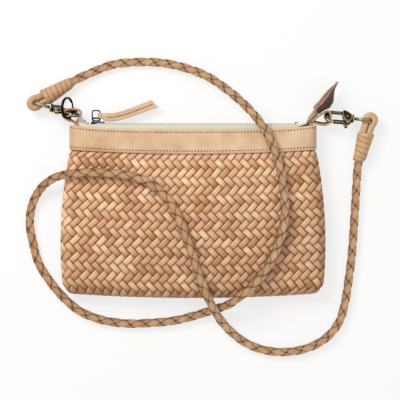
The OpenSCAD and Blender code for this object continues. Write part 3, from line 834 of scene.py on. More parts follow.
@dataclass
class Pouch:
    """The woven pouch and its bands. Sizes in millimetres, as in the part's source."""

    finishes: Finishes
    layer: Layer
    bag_w: float = 266.0
    mouth_w: float = 247.5
    weave_h: float = 144.5
    band_h: float = 24.5
    band_t: float = 1.8
    seam_z: float = 12.0
    mouth_rise: float = 10.5
    belly: float = 12.0
    side_round: float = 10.0
    bottom_round: float = 9.0
    corner_r: float = 14.0
    widest_share: float = 0.35
    bottom_sag: float = 4.5
    band_low_sag: float = 4.2
    band_top_sag: float = 5.0
    mouth_close: float = 1.5
    strip_w: float = 6.25
    relief: float = 1.3
    weave_wall: float = 1.9
    collar_share: float = 0.8
    # half pitches by which the sheet under the strips runs past the wall
    margin: int = 6
    cols: int = field(init=False)
    rows: int = field(init=False)

    def __post_init__(self) -> None:
        """Work out how many half pitches of the weave fit the pouch."""
        half_pitch = self.strip_w / math.sqrt(2)
        self.cols = 2 * round(self.arc_len(self.bag_w / 2) / half_pitch)
        self.rows = round(self.weave_arc / half_pitch)

    @property
    def mouth_half(self) -> float:
        """Half the width at the mouth."""
        return self.mouth_w / 2

    @property
    def weave_arc(self) -> float:
        """Length of the woven wall from the bottom edge to the band."""
        return self.weave_h + self.bottom_round * (math.pi / 2 - 1)

    def arc_len(self, half: float) -> float:
        """Length from the middle line to the side edge over the rounded side."""
        return half - self.side_round * (1 - math.pi / 2)

    @staticmethod
    def wrap_in(s: float, r: float) -> float:
        """Distance in from an edge of radius r after a length s over it."""
        return r * (1 - math.cos(s / r)) if s < r * math.pi / 2 else s - r * (math.pi / 2 - 1)

    @staticmethod
    def wrap_up(s: float, r: float) -> float:
        """Share of the full height after a length s over an edge of radius r."""
        return math.sin(s / r) if s < r * math.pi / 2 else 1.0

    def half_at(self, d: float) -> float:
        """Half width at a height d over the bottom edge."""
        cut = 0.0
        if d < self.corner_r:
            cut = self.corner_r * (1 - math.sqrt(max(0.0, 1 - (1 - d / self.corner_r) ** 2)))
        share = (d / self.weave_h - self.widest_share) / (1 - self.widest_share)
        return self.mouth_half - cut + (self.bag_w / 2 - self.mouth_half) * (1 - share ** 2)

    def low_y(self, x: float) -> float:
        """Height of the band's lower edge."""
        return -self.band_h / 2 + self.band_low_sag * (x / self.mouth_half) ** 2

    def top_y(self, x: float) -> float:
        """Height of the band's upper edge."""
        return self.band_h / 2 + self.band_top_sag * (x / self.mouth_half) ** 4

    def skin(self, u: float, v: float, side: int, inset: float) -> Point:
        """A point of the woven wall in millimetres.

        Args:
            u: from -1 to 1 across.
            v: from 0 at the bottom edge to 1 at the band.
            side: 1 in front, -1 behind.
            inset: depth under the outermost skin.

        Returns:
            The point.
        """
        arc = v * self.weave_arc
        d = inset + self.wrap_in(arc, self.bottom_round) * (1 - inset / self.weave_h)
        half = self.half_at(d) - inset
        along = (1 - abs(u)) * self.arc_len(half)
        x = math.copysign(1, u) * (half - self.wrap_in(along, self.side_round))
        y0 = -self.band_h / 2 - self.weave_h + self.bottom_sag * (x / self.mouth_half) ** 2
        y = y0 + d / self.weave_h * (self.low_y(x) - y0)
        up = self.wrap_up(along, self.side_round) * self.wrap_up(arc, self.bottom_round)
        rise = self.seam_z
        if side > 0:
            rise = self.mouth_rise + self.belly * math.cos(math.pi / 2 * u) * math.sin(math.pi * v)
        return np.array([x, y, self.seam_z + side * (rise - inset) * up])

    def mouth(self, u: float, w: float, side: int, inset: float) -> Point:
        """A point of the mouth in millimetres; w runs from the band's lower to its upper edge."""
        half = self.mouth_half - inset
        along = (1 - abs(u)) * self.arc_len(half)
        x = math.copysign(1, u) * (half - self.wrap_in(along, self.side_round))
        y = self.low_y(x) + w * (self.top_y(x) - self.low_y(x))
        rise = self.mouth_rise - self.mouth_close * w if side > 0 else self.seam_z
        up = self.wrap_up(along, self.side_round)
        return np.array([x, y, self.seam_z + side * (rise - inset) * up])

    def round_skin(self, p: float, q: float, inset: float) -> Point:
        """A point of the woven wall by half pitches round the pouch and up it."""
        if q < 0:
            p, q = 2 * self.cols - p, -q
        p %= 2 * self.cols
        side = 1 if p <= self.cols else -1
        u = 2 * p / self.cols - 1 if side > 0 else 3 - 2 * p / self.cols
        return self.skin(u, q / self.rows, side, inset)

    @property
    def pitch(self) -> tuple[float, float]:
        """Half pitch of the weave in metres, across and up."""
        return (2 * self.arc_len(self.bag_w / 2) / self.cols * MM, self.weave_arc / self.rows * MM)

    def weave_skin(self) -> Piece:
        """The surface that the strips are laid on.

        Returns:
            A helper sheet, sunk under the band at its top.
        """
        px, py = self.pitch

        def place(x: float, y: float) -> Point:
            """Point of the wall, which dips before the band and dives under it."""
            q = y / py - self.margin
            sink = 0.7 * ease((q - self.rows + 1.6) / 0.9) + 2.2 * ease((q - self.rows + 0.5) / 0.8)
            return self.round_skin(x / px - self.margin, q, self.relief + sink) * MM

        xs = [i * px / 2 for i in range(2 * (2 * self.cols + 2 * self.margin) + 1)]
        ys = [j * py / 2 for j in range(2 * (self.rows + self.margin + 2) + 1)]
        return sheet_skin("weave_skin", place, xs, ys)

    def build_weave(self) -> Piece:
        """Lay every float of the two-over, two-under weave on the pouch.

        Returns:
            The woven wall.
        """
        px, py = self.pitch
        lean = math.atan2(py, px)
        draw = random.Random(SEED)
        strip_spread, float_spread, turn_spread = 0.12, 0.24, 0.035
        shade_along, shade_across = 0.32, 0.42
        strip_tone = [draw.uniform(-strip_spread, strip_spread) for _ in range(4 * self.cols)]
        points, turns, tones = [], [], []

        def lay_row(q: float, first: float, way: int, count: int, height: float) -> None:
            """Add one row of floats."""
            for i in range(count):
                p = first + 2 * i
                points.append(((p + self.margin) * px, (q + self.margin) * py, height))
                turns.append(way * lean + draw.uniform(-turn_spread, turn_spread))
                strip = int(round(p - way * q)) % len(strip_tone)
                tone = MID_TONE + strip_tone[strip] + draw.gauss(0, float_spread)
                tones.append(min(1.0, max(0.0, tone)))

        # rows lie two half pitches apart and lean in turn, and the last one closes the bottom edge
        for k in range(self.rows // 4 + 1):
            lay_row(1.5 + 4 * k, 0.5, 1, self.cols, 0.0)
            if 3.5 + 4 * k < self.rows:
                lay_row(3.5 + 4 * k, 1.5, -1, self.cols, 0.0)
        lay_row(0.0, 1.5, -1, self.cols // 2 - 1, -0.3 * MM)
        float_piece = cushion(
            "float", length=2.1 * self.strip_w * MM, width=0.955 * self.strip_w * MM,
            crown=1.25 * MM, foot=-0.5 * MM, tip_drop=0.95 * MM)
        # painted light and shade on each float: paler at its upper left, towards the lamp, and
        # deeper at its lower right, where it dives under
        rise = np.array([v.co[:2] for v in float_piece.data.vertices]) / (self.strip_w * MM)
        skin = self.weave_skin()
        made = self.layer.lay("woven_strips", float_piece, points, turns, tones,
                              self.finishes.woven, skin)
        bpy.data.objects.remove(skin)
        light_and_shade = np.where(np.array(turns)[:, None] < 0,
                        rise[:, 0] * shade_along, -rise[:, 1] * shade_across)
        # painted shade, deeper towards the left
        deepen_left(made, 80 * MM)
        change_attribute(made, "tone", lambda values: values + light_and_shade.ravel().astype(np.float32))
        shade_by_light(made, deepen=0.45, even=0.8, lean=0.7)
        return made

    def build_ground(self) -> Piece:
        """The backs of the strips, seen through the gaps, as a hollow wall up to the zip, coloured
        as painted shade.

        Returns:
            The wall.
        """
        n, steps, inner_steps = 96, 40, 10
        sunk, dip, dip_from, dip_over = 0.25, 0.5, 0.95, 0.05
        deep = self.relief + self.weave_wall

        def ring(v: float, inset: float) -> list[Point]:
            """One ring round the pouch, in the mouth where v is over 1."""
            out = []
            for k in range(2 * n):
                side = 1 if k < n else -1
                u = 2 * k / n - 1 if side > 0 else 3 - 2 * k / n
                out.append((self.skin(u, v, side, inset) if v <= 1
                            else self.mouth(u, v - 1, side, inset)) * MM)
            return out

        outer = [ring(i / steps, self.relief + sunk + dip * ease((i / steps - dip_from) / dip_over))
                 for i in range(steps + 1)]
        outer.append(ring(1 + self.collar_share, self.band_t + sunk))
        inner = [ring(i / inner_steps, deep) for i in range(inner_steps + 1)]
        inner.append(ring(1 + self.collar_share, deep))
        points, faces = tube(outer + inner[::-1])
        caps = 2
        made = mesh_object("woven_ground", points, faces[caps:], self.finishes.ground)
        turn_out(made)
        return made

    def build_band(self, side: Face) -> Piece:
        """One band of smooth leather with rounded edges and a slight unevenness of hand work.

        Args:
            side: face of the bag.

        Returns:
            The band.
        """
        n, face_cells, back_cells = 160, 12, 4
        lip, rounding, round_share = self.band_t / 2 * 0.7, 0.55, 0.05
        wave_mm, wave_gain, still_share = 11, 1.6, 0.08
        tone, tone_fall, low_rim, top_rim = 0.47, 0.15, 0.1, 0.06
        section = [(i / face_cells, 0.0) for i in range(face_cells + 1)]
        section += [(1.0, lip), (1.0, self.band_t)]
        section += [(1 - i / back_cells, self.band_t) for i in range(1, back_cells + 1)]
        section += [(0.0, lip)]
        draw = random.Random(SEED + side.value)
        # height, place and slant of each wave in the leather
        waves = [(draw.uniform(0.02, 0.06), draw.uniform(0, 6.28), draw.uniform(-2, 2))
                 for _ in range(6)]
        rings, tones, rims = [], [], []
        for i in range(n + 1):
            u = (2 * i / n - 1) or TINY
            ring = []
            for w, inset in section:
                drop = 0.0
                if inset == 0.0:
                    drop = rounding * (max(0.0, 1 - w / round_share) ** 2
                                       + max(0.0, 1 - (1 - w) / round_share) ** 2)
                spot = self.mouth(u, w, side.value, inset + drop)
                if side is Face.FRONT:
                    wave = sum(a * math.sin(spot[0] / wave_mm * (1 + k) / 2 + f + g * w)
                               for k, (a, f, g) in enumerate(waves))
                    inside = ease((1 - abs(u)) / still_share) * math.sin(math.pi * w)
                    spot[2] += wave * wave_gain * inside
                ring.append(spot * MM)
                tones.append(tone - tone_fall * u)
                rims.append(max(0.0, 1 - w / low_rim, 1 - (1 - w) / top_rim))
            rings.append(ring)
        made = mesh_object(f"{side.word}_band_leather", *tube(rings), self.finishes.band)
        put_attribute(made, "tone", tones)
        put_attribute(made, "rim", rims)
        turn_out(made)
        return made

    def band_skin(self, side: Face) -> Piece:
        """The outer face of a band, flat along its length and height, for its stitches."""
        length = 2 * self.arc_len(self.mouth_half) * MM
        height = self.band_h * MM
        cells_long, cells_high, end = 200, 12, 0.9999

        def place(x: float, y: float) -> Point:
            """Point of the band by length and height."""
            u = side.value * (2 * x / length - 1)
            return self.mouth(max(-end, min(end, u)) or TINY, y / height, side.value, 0.0) * MM

        xs = [length * i / cells_long for i in range(cells_long + 1)]
        ys = [height * j / cells_high for j in range(cells_high + 1)]
        return sheet_skin("band_skin", place, xs, ys)

    def build_stitches(self, side: Face) -> Piece:
        """Two rows of brown stitches along a band.

        Args:
            side: face of the bag.

        Returns:
            The stitches.
        """
        pitch, from_top, from_low, end, slant = 3.1, 2.6, 3.1, 3.0, -0.12
        length = 2 * self.arc_len(self.mouth_half)
        count = int((length - 2 * end) / pitch)
        points = [((end + pitch * (i + 0.5)) * MM, y * MM, 0.05 * MM)
                  for y in (from_low, self.band_h - from_top) for i in range(count)]
        stitch = cushion("stitch", length=1.5 * MM, width=1.25 * MM, crown=0.25 * MM,
                         foot=-0.3 * MM, tip_drop=0.3 * MM, cells=(6, 4))
        skin = self.band_skin(side)
        made = self.layer.lay(f"{side.word}_band_stitches", stitch, points, [slant] * len(points),
                         [0.5] * len(points), self.finishes.thread, skin)
        bpy.data.objects.remove(skin)
        return made

    def build(self) -> None:
        """Build and place the pouch."""
        settle(self.build_weave(), Body.BAG, "woven_leather", "woven_body")
        settle(self.build_ground(), Body.BAG, "woven_leather")
        for side in Face:
            settle(self.build_band(side), Body.BAG, "veg_tan_leather", f"{side.word}_band")
            settle(self.build_stitches(side), Body.BAG, "veg_tan_leather")


# The strap


@dataclass
class Strap:
    """The braided strap, its bindings and its loops in the clasps' eyes. Sizes in millimetres."""

    finishes: Finishes
    layer: Layer
    strap_d: float = 8.5
    lay_length: float = 30.5
    loop_d: float = 5.6
    loop_close: float = 1.35
    bind_big_d: float = 17.0
    bind_small_d: dict = field(default_factory=lambda: {Hand.LEFT: 10.6, Hand.RIGHT: 12.4})
    bind_l: float = 30.0
    bind_drop: float = 7.0
    bind_z: float = 9.6
    bind_wraps: int = 5
    # how far the lace starts before the core, and the shade of each binding and loop
    bind_over: dict = field(default_factory=lambda: {Hand.LEFT: 4.0, Hand.RIGHT: 0.0})
    bind_tone: dict = field(default_factory=lambda: {Hand.LEFT: 0.5, Hand.RIGHT: 0.24})
    loop_tone: dict = field(default_factory=lambda: {Hand.LEFT: 0.55, Hand.RIGHT: 0.3})
    tuck: float = 3.0
    eye_wire: float = 3.0
    clasp_z: float = 11.0
    gap: float = 0.15
    eyes: dict = field(default_factory=lambda: {
        Hand.LEFT: (-158.73, 39.0), Hand.RIGHT: (177.49, 22.01)})
    bind_offs: dict = field(default_factory=lambda: {
        Hand.LEFT: (12.85, 7.0), Hand.RIGHT: (-4.0, -12.5)})
    bind_dirs: dict = field(default_factory=lambda: {Hand.LEFT: 30.7, Hand.RIGHT: -103.8})
    route: tuple = (
        (-103, 69.5, 4.6), (-80, 78, 4.5), (-55, 80.5, 4.5), (-30, 79.5, 5.2), (-6, 74, 8),
        (14, 66, 11.5), (32, 54, 15.8), (48, 40.5, 20.4), (60, 28, 24.2), (69, 16.5, 26.4),
        (78, -1, 27), (85, -20.5, 29), (89.5, -41, 31.3), (91, -62, 32.9), (90, -84, 34),
        (84, -104, 34.2), (75, -123.5, 33.4), (61.5, -141, 31.6), (47, -154, 28.2),
        (36, -162, 20.5), (22, -167.5, 10.5), (4, -173.5, 5), (-18, -179, 4.5),
        (-43, -181.5, 4.5), (-68, -182, 4.5), (-93, -178, 4.5), (-113, -170, 4.5),
        (-130, -156, 4.5), (-144.5, -138.5, 4.5), (-155, -121.5, 4.5), (-160.5, -102, 4.5),
        (-164, -81, 4.5), (-162, -64.5, 4.6), (-153, -47, 9), (-138.5, -36, 18.8),
        (-118, -31.5, 28.5), (-96, -30.5, 30), (-74, -32, 31.4), (-54, -36, 32.8),
        (-36.5, -46, 35.3), (-22.5, -60, 37.6), (-14.5, -74.5, 39), (-7.5, -93, 39.4),
        (-0.5, -112.5, 38.2), (6, -133, 35), (13, -150.5, 30.4), (20, -165.5, 21.8),
        (28.5, -179.5, 12.5), (39, -191, 6.3), (53, -201.5, 4.5), (73, -209, 4.5),
        (96, -210.5, 4.5), (117, -206, 4.5), (135.5, -195, 4.5), (147, -180, 4.5),
        (152.5, -162, 4.5), (156, -140.5, 4.5), (159, -118, 4.5), (161, -94, 4.5),
        (162.5, -70, 4.5), (164, -46, 4.6))

    def bind_at(self, hand: Hand) -> Point:
        """Middle of a binding's thick end."""
        eye, off = self.eyes[hand], self.bind_offs[hand]
        return np.array([eye[0] + off[0], eye[1] + off[1], self.bind_z])

    def bind_axis(self, hand: Hand) -> Point:
        """Direction of a binding from its thick to its thin end."""
        turn, drop = math.radians(self.bind_dirs[hand]), math.radians(self.bind_drop)
        return np.array([math.cos(turn) * math.cos(drop), math.sin(turn) * math.cos(drop),
                         -math.sin(drop)])

    def bind_end(self, hand: Hand) -> Point:
        """Point where the strap leaves a binding."""
        return self.bind_at(hand) + (self.bind_l + self.gap) * self.bind_axis(hand)

    def line(self) -> list[Point]:
        """The strap's middle line, smooth through its route, in millimetres, a point every 2 mm."""
        left, right = (self.bind_end(hand) for hand in Hand)
        left_in, right_in = (self.bind_end(hand) - 2 * self.tuck * self.bind_axis(hand)
                             for hand in Hand)
        knots = [left_in, left, *(np.array(p, float) for p in self.route), right, right_in]
        fine, cuts, least = [], 12, 1e-6
        for i in range(len(knots) - 1):
            p0, p1 = knots[max(0, i - 1)], knots[i]
            p2, p3 = knots[i + 1], knots[min(len(knots) - 1, i + 2)]
            t1, t2, t3 = np.cumsum([np.linalg.norm(b - a) + least
                                    for a, b in ((p0, p1), (p1, p2), (p2, p3))])
            for cut in range(cuts):
                t = t1 + (t2 - t1) * cut / cuts
                a1 = (t1 - t) / t1 * p0 + t / t1 * p1
                a2 = (t2 - t) / (t2 - t1) * p1 + (t - t1) / (t2 - t1) * p2
                a3 = (t3 - t) / (t3 - t2) * p2 + (t - t2) / (t3 - t2) * p3
                b1 = (t2 - t) / t2 * a1 + t / t2 * a2
                b2 = (t3 - t) / (t3 - t1) * a2 + (t - t1) / (t3 - t1) * a3
                fine.append((t2 - t) / (t2 - t1) * b1 + (t - t1) / (t2 - t1) * b2)
        fine.append(knots[-1])
        return resample(fine, 2.0)

    def build_braid(self) -> tuple[Piece, list[Point]]:
        """Four laces braided round, two each way, each over one and under the next.

        Returns:
            The braid and its middle line in metres.
        """
        line = self.line()
        core, swing, half_w, half_t, step = 3.3, 0.75, 3.85, 0.55, 1.0
        sharp, tuck_shade_from, tuck_shade_gain, lace_tones = 1.6, -0.05, 1.7, [0.36, 0.5]
        skin = tube_skin("strap_skin", line, core, quarter_turn(len(line)))
        length = path_length(line)
        around = 2 * math.pi * core
        laces = []
        for way in (1, -1):
            slope = way * around / self.lay_length

            def height(x: float, y: float, way: int = way,
                       slope: float = slope) -> tuple[float, float]:
                """Over where the crossing lace of its column runs, under at the next, with painted
                shade where it goes under.
                """
                over = way * math.cos(2 * math.pi * (y + slope * x) / (around * MM))
                return (swing * MM * math.tanh(sharp * over) / math.tanh(sharp),
                        ease(tuck_shade_from - tuck_shade_gain * over))

            count = int((length - 2 * self.tuck) / step)
            centres = [np.array([self.tuck + i * step, slope * (self.tuck + i * step)]) * MM
                       for i in range(count + 1)]
            lace = lens_strip("lace", centres, unit(np.array([-slope, 1.0])), half_w * MM,
                              half_t * MM, height)
            spots = [(0.0, k / 2 * around * MM, 0.0) for k in range(2)]
            laces.append(self.layer.lay("laces", lace, spots, [0.0, 0.0], lace_tones,
                                        self.finishes.braid, skin, around * MM))
        bpy.data.objects.remove(skin)
        braid = join("braided_strap", laces)
        shade_by_light(braid, deepen=0.6, even=0.85, lean=0.5)
        # painted shade, deeper towards the left
        deepen_left(braid, 120 * MM)
        return join("braided_strap", [braid, self.build_heart(line)]), [p * MM for p in line]

    def build_heart(self, line: Sequence[Point]) -> Piece:
        """The heart of the braid, seen where the laces cross, dark as painted shade."""
        heart_r, sides = 2.75, 8
        rings = [ring_round(line[i], *side_and_up(unit(heading(line, i))), heart_r, sides)
                 for i in range(1, len(line) - 1)]
        made = mesh_object("heart", *tube(rings), self.finishes.braid)
        for name in ("tone", "rim"):
            put_even(made, name, 1.0)
        turn_out(made)
        return made

    def build_binding(self, hand: Hand) -> Piece:
        """A flat lace wound tightly round the strap's end, each turn overlapping the last.

        Args:
            hand: end of the strap.

        Returns:
            The binding.
        """
        axis, at = self.bind_axis(hand), self.bind_at(hand)
        side, up = side_and_up(axis)
        lace_t, cells_long, cells_round, cuts, core_sides = 1.5, 30, 48, 40, 32
        small_d = self.bind_small_d[hand]
        mean_r = (self.bind_big_d + small_d) / 4
        around = 2 * math.pi * mean_r

        def radius(x: float) -> float:
            """Radius of the core at a length along it."""
            share = min(1.0, max(0.0, x / self.bind_l))
            return (self.bind_big_d * (1 - share) + small_d * share) / 2 - lace_t

        def place(x: float, y: float) -> Point:
            """Point of the core by length and way round."""
            a = -y / MM / mean_r
            r = radius(x / MM)
            return (at + x / MM * axis + r * (math.cos(a) * side + math.sin(a) * up)) * MM

        begin = -self.bind_over[hand]
        xs = [(begin + i * (self.bind_l - begin) / cells_long) * MM
              for i in range(-1, cells_long + 2)]
        ys = [i * around / cells_round * MM for i in range(-1, cells_round + 2)]
        skin = sheet_skin("bind_skin", place, xs, ys)
        # the lace is a little wider than its pitch, so that each turn laps over the last
        step = self.bind_l / (self.bind_wraps + 0.6)
        half_w = step * 0.53
        span = (self.bind_l - begin - 2 * half_w) / step
        centres = [np.array([begin + half_w + i / cuts * step, i / cuts * around]) * MM
                   for i in range(int(span * cuts) + 1)]
        lace = lens_strip("lace", centres, np.array([1.0, -0.05]), half_w * MM, lace_t / 2 * MM,
                          lambda x, y: (lace_t / 2 * MM, 0.0), square=2.0)
        name, tone = f"{hand.value}_binding_lace", self.bind_tone[hand]
        wound = self.layer.lay(name, lace, [(0.0, 0.0, 0.0)], [0.0], [tone], self.finishes.braid,
                               skin, around * MM)
        bpy.data.objects.remove(skin)
        # place and radius of the core's rings, rounded at its thick end, drawn in at its thin one
        profile = [(begin + x, r * radius(x) + 1.0)
                   for x, r in ((0.2, 0.4), (0.4, 0.86), (1.2, 0.98))]
        profile += [(self.bind_l * k / 8, radius(self.bind_l * k / 8) + 0.9) for k in range(1, 8)]
        profile += [(self.bind_l - 0.9, radius(self.bind_l) + 0.3), (self.bind_l - 0.5, 2.0)]
        core = mesh_object("core", *tube([ring_round(at + x * axis, side, up, r, core_sides)
                                          for x, r in profile]), self.finishes.braid)
        put_even(core, "tone", tone)
        turn_out(core)
        return join(name, [wound, core])

    def build_loop(self, hand: Hand) -> Piece:
        """The strap's end turned back through the eye of its clasp.

        Args:
            hand: end of the strap.

        Returns:
            The loop.
        """
        eye = np.array([*self.eyes[hand], self.clasp_z])
        to = self.bind_at(hand)
        way = np.array([to[0] - eye[0], to[1] - eye[1], 0.0])
        hidden, leg_steps, turn_steps, sides, flatness = 2.0, 12, 17, 20, 1.26
        leg = float(np.linalg.norm(way)) + hidden
        way = unit(way)
        side = np.array([-way[1], way[0], 0.0])
        turn_r = self.eye_wire / 2 + self.gap + self.loop_d / 2
        legs = [(leg * k / leg_steps, turn_r - self.loop_close * ease(k / leg_steps / 0.45))
                for k in range(1, leg_steps + 1)]
        path = [eye + d * way + r * side for d, r in reversed(legs)]
        path += [eye + turn_r * (math.cos(a) * side - math.sin(a) * way)
                 for a in np.linspace(0, math.pi, turn_steps)]
        path += [eye + d * way - r * side for d, r in legs]
        rings, rims = [], []
        for i, p in enumerate(path):
            across = np.cross(UP, unit(heading(path, i)))
            inner = 1 if np.dot(across, eye + 2 * way - p) > 0 else -1
            ring = []
            for j in range(sides):
                a = 2 * math.pi * j / sides
                out = flatness * math.cos(a) * across + math.sin(a) * np.array(UP)
                ring.append((p + self.loop_d / 2 * out) * MM)
                # the inside of the loop, facing the eye, gets painted shade in the rim colour
                rims.append(ease((math.cos(a) * inner - 0.55) / 0.4))
            rings.append(ring)
        made = mesh_object(f"{hand.value}_strap_loop_lace", *tube(rings), self.finishes.braid)
        put_even(made, "tone", self.loop_tone[hand])
        put_attribute(made, "rim", rims)
        turn_out(made)
        return made

    def build(self) -> None:
        """Build and place the strap."""
        for hand in Hand:
            for made, node in ((self.build_binding(hand), f"{hand.value}_binding"),
                               (self.build_loop(hand), f"{hand.value}_strap_loop")):
                settle(made, Body.BAG, "braided_leather", node)
        braid, path = self.build_braid()
        settle(braid, Body.BAG, "braided_leather", "strap")
        length = path_length(path)
        tuple(self.bind_end(Hand.LEFT) * MM)
        [tuple(p) for p in path]


def resample(points: Sequence[Point], step: float) -> list[Point]:
    """Space points evenly along a line.

    Args:
        points: points of the line.
        step: wanted spacing.

    Returns:
        Evenly spaced points from the first to the last.
    """
    steps = [np.linalg.norm(b - a) for a, b in zip(points, points[1:])]
    stops = np.concatenate([[0], np.cumsum(steps)])
    count = max(2, round(stops[-1] / step) + 1)
    wanted = np.linspace(0, stops[-1], count)
    stacked = np.array(points)
    return list(np.stack([np.interp(wanted, stops, stacked[:, k]) for k in range(3)], axis=1))


def quarter_turn(count: int) -> list[float]:
    """How far the strap has twisted at each ring: a quarter turn from its left to its right end."""
    return [-math.pi / 2 * ease((i / count - 0.25) / 0.7) for i in range(count)]


def tube_skin(name: str, line: Sequence[Point], radius: float,
              turns: Sequence[float]) -> Piece:
    """The surface of a round cord, flat along its length and its way round.

    Args:
        name: name of the helper object.
        line: middle line in millimetres.
        radius: radius in millimetres.
        turns: twist of each ring.

    Returns:
        A helper sheet.
    """
    sides = 16
    step = float(np.linalg.norm(line[1] - line[0]))
    points, outward, flat = [], [], []
    for i, p in enumerate(line):
        side, up = side_and_up(unit(heading(line, i)))
        for j in range(-1, sides + 2):
            a = 2 * math.pi * j / sides + turns[i]
            out = math.cos(a) * side + math.sin(a) * up
            points.append((p + radius * out) * MM)
            outward.append(out)
            flat.append((i * step * MM, 2 * math.pi * radius * j / sides * MM))
    w = sides + 3
    faces = [(i * w + j, (i + 1) * w + j, (i + 1) * w + j + 1, i * w + j + 1)
             for i in range(len(line) - 1) for j in range(w - 1)]
    made = mesh_object(name, points, faces)
    put_attribute(made, "outward", outward, "FLOAT_VECTOR")
    layer = made.data.uv_layers.new(name="flat")
    for loop in made.data.loops:
        layer.data[loop.index].uv = flat[loop.vertex_index]
    return made


# The zip


@dataclass
class Zip:
    """Tapes, teeth, slider, pull and end tab. Sizes in millimetres, as in the part's source."""

    finishes: Finishes
    layer: Layer
    pouch: Pouch
    over_band: float = 5.25
    tape_t: float = 0.7
    tape_sewn: float = 9.0
    tape_left: float = -114.0
    tape_right: float = 106.0
    end_rise: float = 6.5
    end_rise_l: float = 11.5
    end_part: float = 4.2
    fold_tip: float = 1.0
    chain_t: float = 2.6
    tooth_pitch: float = 3.0
    tooth_h: float = 2.6
    wedge_slot: float = 1.0
    slider_w: float = 9.0
    gap: float = 0.15
    tail_w: float = 12.0
    tail_in: float = 8.0
    end_tab_at: tuple[float, float] = (123.5, 31.0)
    end_tab_dir: float = 52.8
    end_tab_lean: float = 25.0
    end_tab_l: float = 37.0
    end_tab_w: float = 20.0
    end_tab_tip: float = 0.5
    end_tab_curl: float = 0.024
    # half width along the leaf as the solid has it, as shares of its length and of its half width
    end_tab_outline: tuple = ((0, 0.1, 0.3, 0.5, 0.7, 0.88, 1),
                              (0.5, 0.72, 1, 0.97, 0.78, 0.5, 0.28))
    pull_anchor: tuple[float, float, float] = (-93.22, 26.45, 8.22)
    pull_nose: float = 2.1
    pull_half_t: float = 1.4
    # half width and middle of the pull as made, then as worn, by distance from the ring
    pull_made: tuple = ((0.0, 2.95, 0.0), (2.1, 2.95, 0.0), (9.0, 4.5, 2.67), (62.0, 4.5, 18.37))
    pull_worn: tuple = ((0.0, 2.95, 0.0), (2.1, 3.0, -0.2), (4.5, 4.1, -0.95), (9.0, 4.3, -1.5),
                        (14.0, 4.25, -1.35), (22.0, 4.3, 0.4), (31.0, 4.4, 3.2), (43.0, 4.5, 7.7),
                        (62.0, 4.6, 15.0))
    pull_shrink: float = 0.95
    pull_slant: float = 3.4

    @property
    def line_y(self) -> float:
        """Height of the chain over the origin."""
        return self.pouch.band_h / 2 + self.over_band

    def open_at(self, x: float) -> float:
        """How far the tapes have parted, from 0 to 1."""
        return ease((self.tape_left + self.end_rise_l - x) / self.end_rise_l)

    def chain_y(self, x: float) -> float:
        """Height of the teeth along the zip."""
        return self.line_y + self.end_rise * self.open_at(x)

    def tape_out(self, x: float, side: int) -> float:
        """Distance of the sewn tape from the seam's plane."""
        inside = self.pouch.relief + self.pouch.weave_wall + self.gap
        left = self.pouch.mouth_half - 2 * inside - abs(x)
        rise = self.pouch.mouth_rise - self.pouch.mouth_close if side > 0 else self.pouch.seam_z
        round_ = self.pouch.side_round
        return (rise - inside) * (math.sqrt(1 - (1 - left / round_) ** 2) if left < round_ else 1.0)

    def build_tape(self, side: Face) -> Piece:
        """One tape from its left end, which stands up, to the stop.

        Args:
            side: face of the bag.

        Returns:
            The tape.
        """
        half, s, seam = self.tape_t / 2, side.value, self.pouch.seam_z
        edge = self.wedge_slot / 2 + self.tooth_h / 2
        bend = self.slider_w / 2 + self.tape_t
        rings = []
        for x in np.arange(self.tape_left, self.tape_right + 0.5, 1.0):
            x = min(float(x), self.tape_right)
            part = self.open_at(x)
            y0 = self.line_y - self.tape_sewn - self.pouch.band_top_sag / 2
            y1 = self.chain_y(x)
            low = y1 - half - self.tape_t - self.chain_t * part
            e = edge + self.end_part * part
            m = bend + self.end_part * part
            tip = m + self.tape_t + self.fold_tip * part
            o = self.tape_out(x, s)
            ring = [(y1 + half, e), (y1 + half, tip), (low - self.tape_t * part, o), (y0, o),
                    (y0, o - self.tape_t), (low - self.tape_t * (1 - part), o - self.tape_t),
                    (y1 - half, m), (y1 - half, e)]
            rings.append([np.array([x, y, seam + s * z]) * MM for y, z in ring])
        made = mesh_object(f"{side.word}_zip_tape_cotton", *tube(rings), self.finishes.tape)
        turn_out(made)
        made.data.shade_flat()
        return made

    def build_teeth(self, side: Face) -> Piece:
        """The metal teeth of one tape.

        Args:
            side: face of the bag.

        Returns:
            The teeth.
        """
        inner_l, outer_l, bevel = 1.45, 1.2, 0.28
        count = int((self.tape_right - self.tape_left - self.tooth_pitch) / self.tooth_pitch)
        # the rear row sits lower, so that the front row shows as single dots
        shift, sunk = (0.0, 0.0) if side is Face.FRONT else (self.tooth_pitch / 2, 0.8)
        points = []
        for i in range(1, count + 1):
            x = self.tape_left + i * self.tooth_pitch + shift
            low = self.wedge_slot / 2 + self.end_part * self.open_at(x) + self.tooth_h / 2
            points.append(np.array([x, self.chain_y(x) - sunk,
                                    self.pouch.seam_z + side.value * low]) * MM)
        bm = bmesh.new()
        bmesh.ops.create_cube(bm, size=1.0)
        for v in bm.verts:
            v.co.x *= (inner_l if v.co.z * side.value < 0 else outer_l) * MM
            v.co.y *= self.chain_t * MM
            v.co.z *= self.tooth_h * MM
        bmesh.ops.bevel(bm, geom=bm.edges[:], offset=bevel * MM, segments=2, affect="EDGES")
        tooth = mesh_object("tooth", [], [])
        bm.to_mesh(tooth.data)
        bm.free()
        return self.layer.lay(f"{side.word}_zip_teeth_metal", tooth, points, [0.0] * len(points),
                         [0.5] * len(points), self.finishes.teeth)

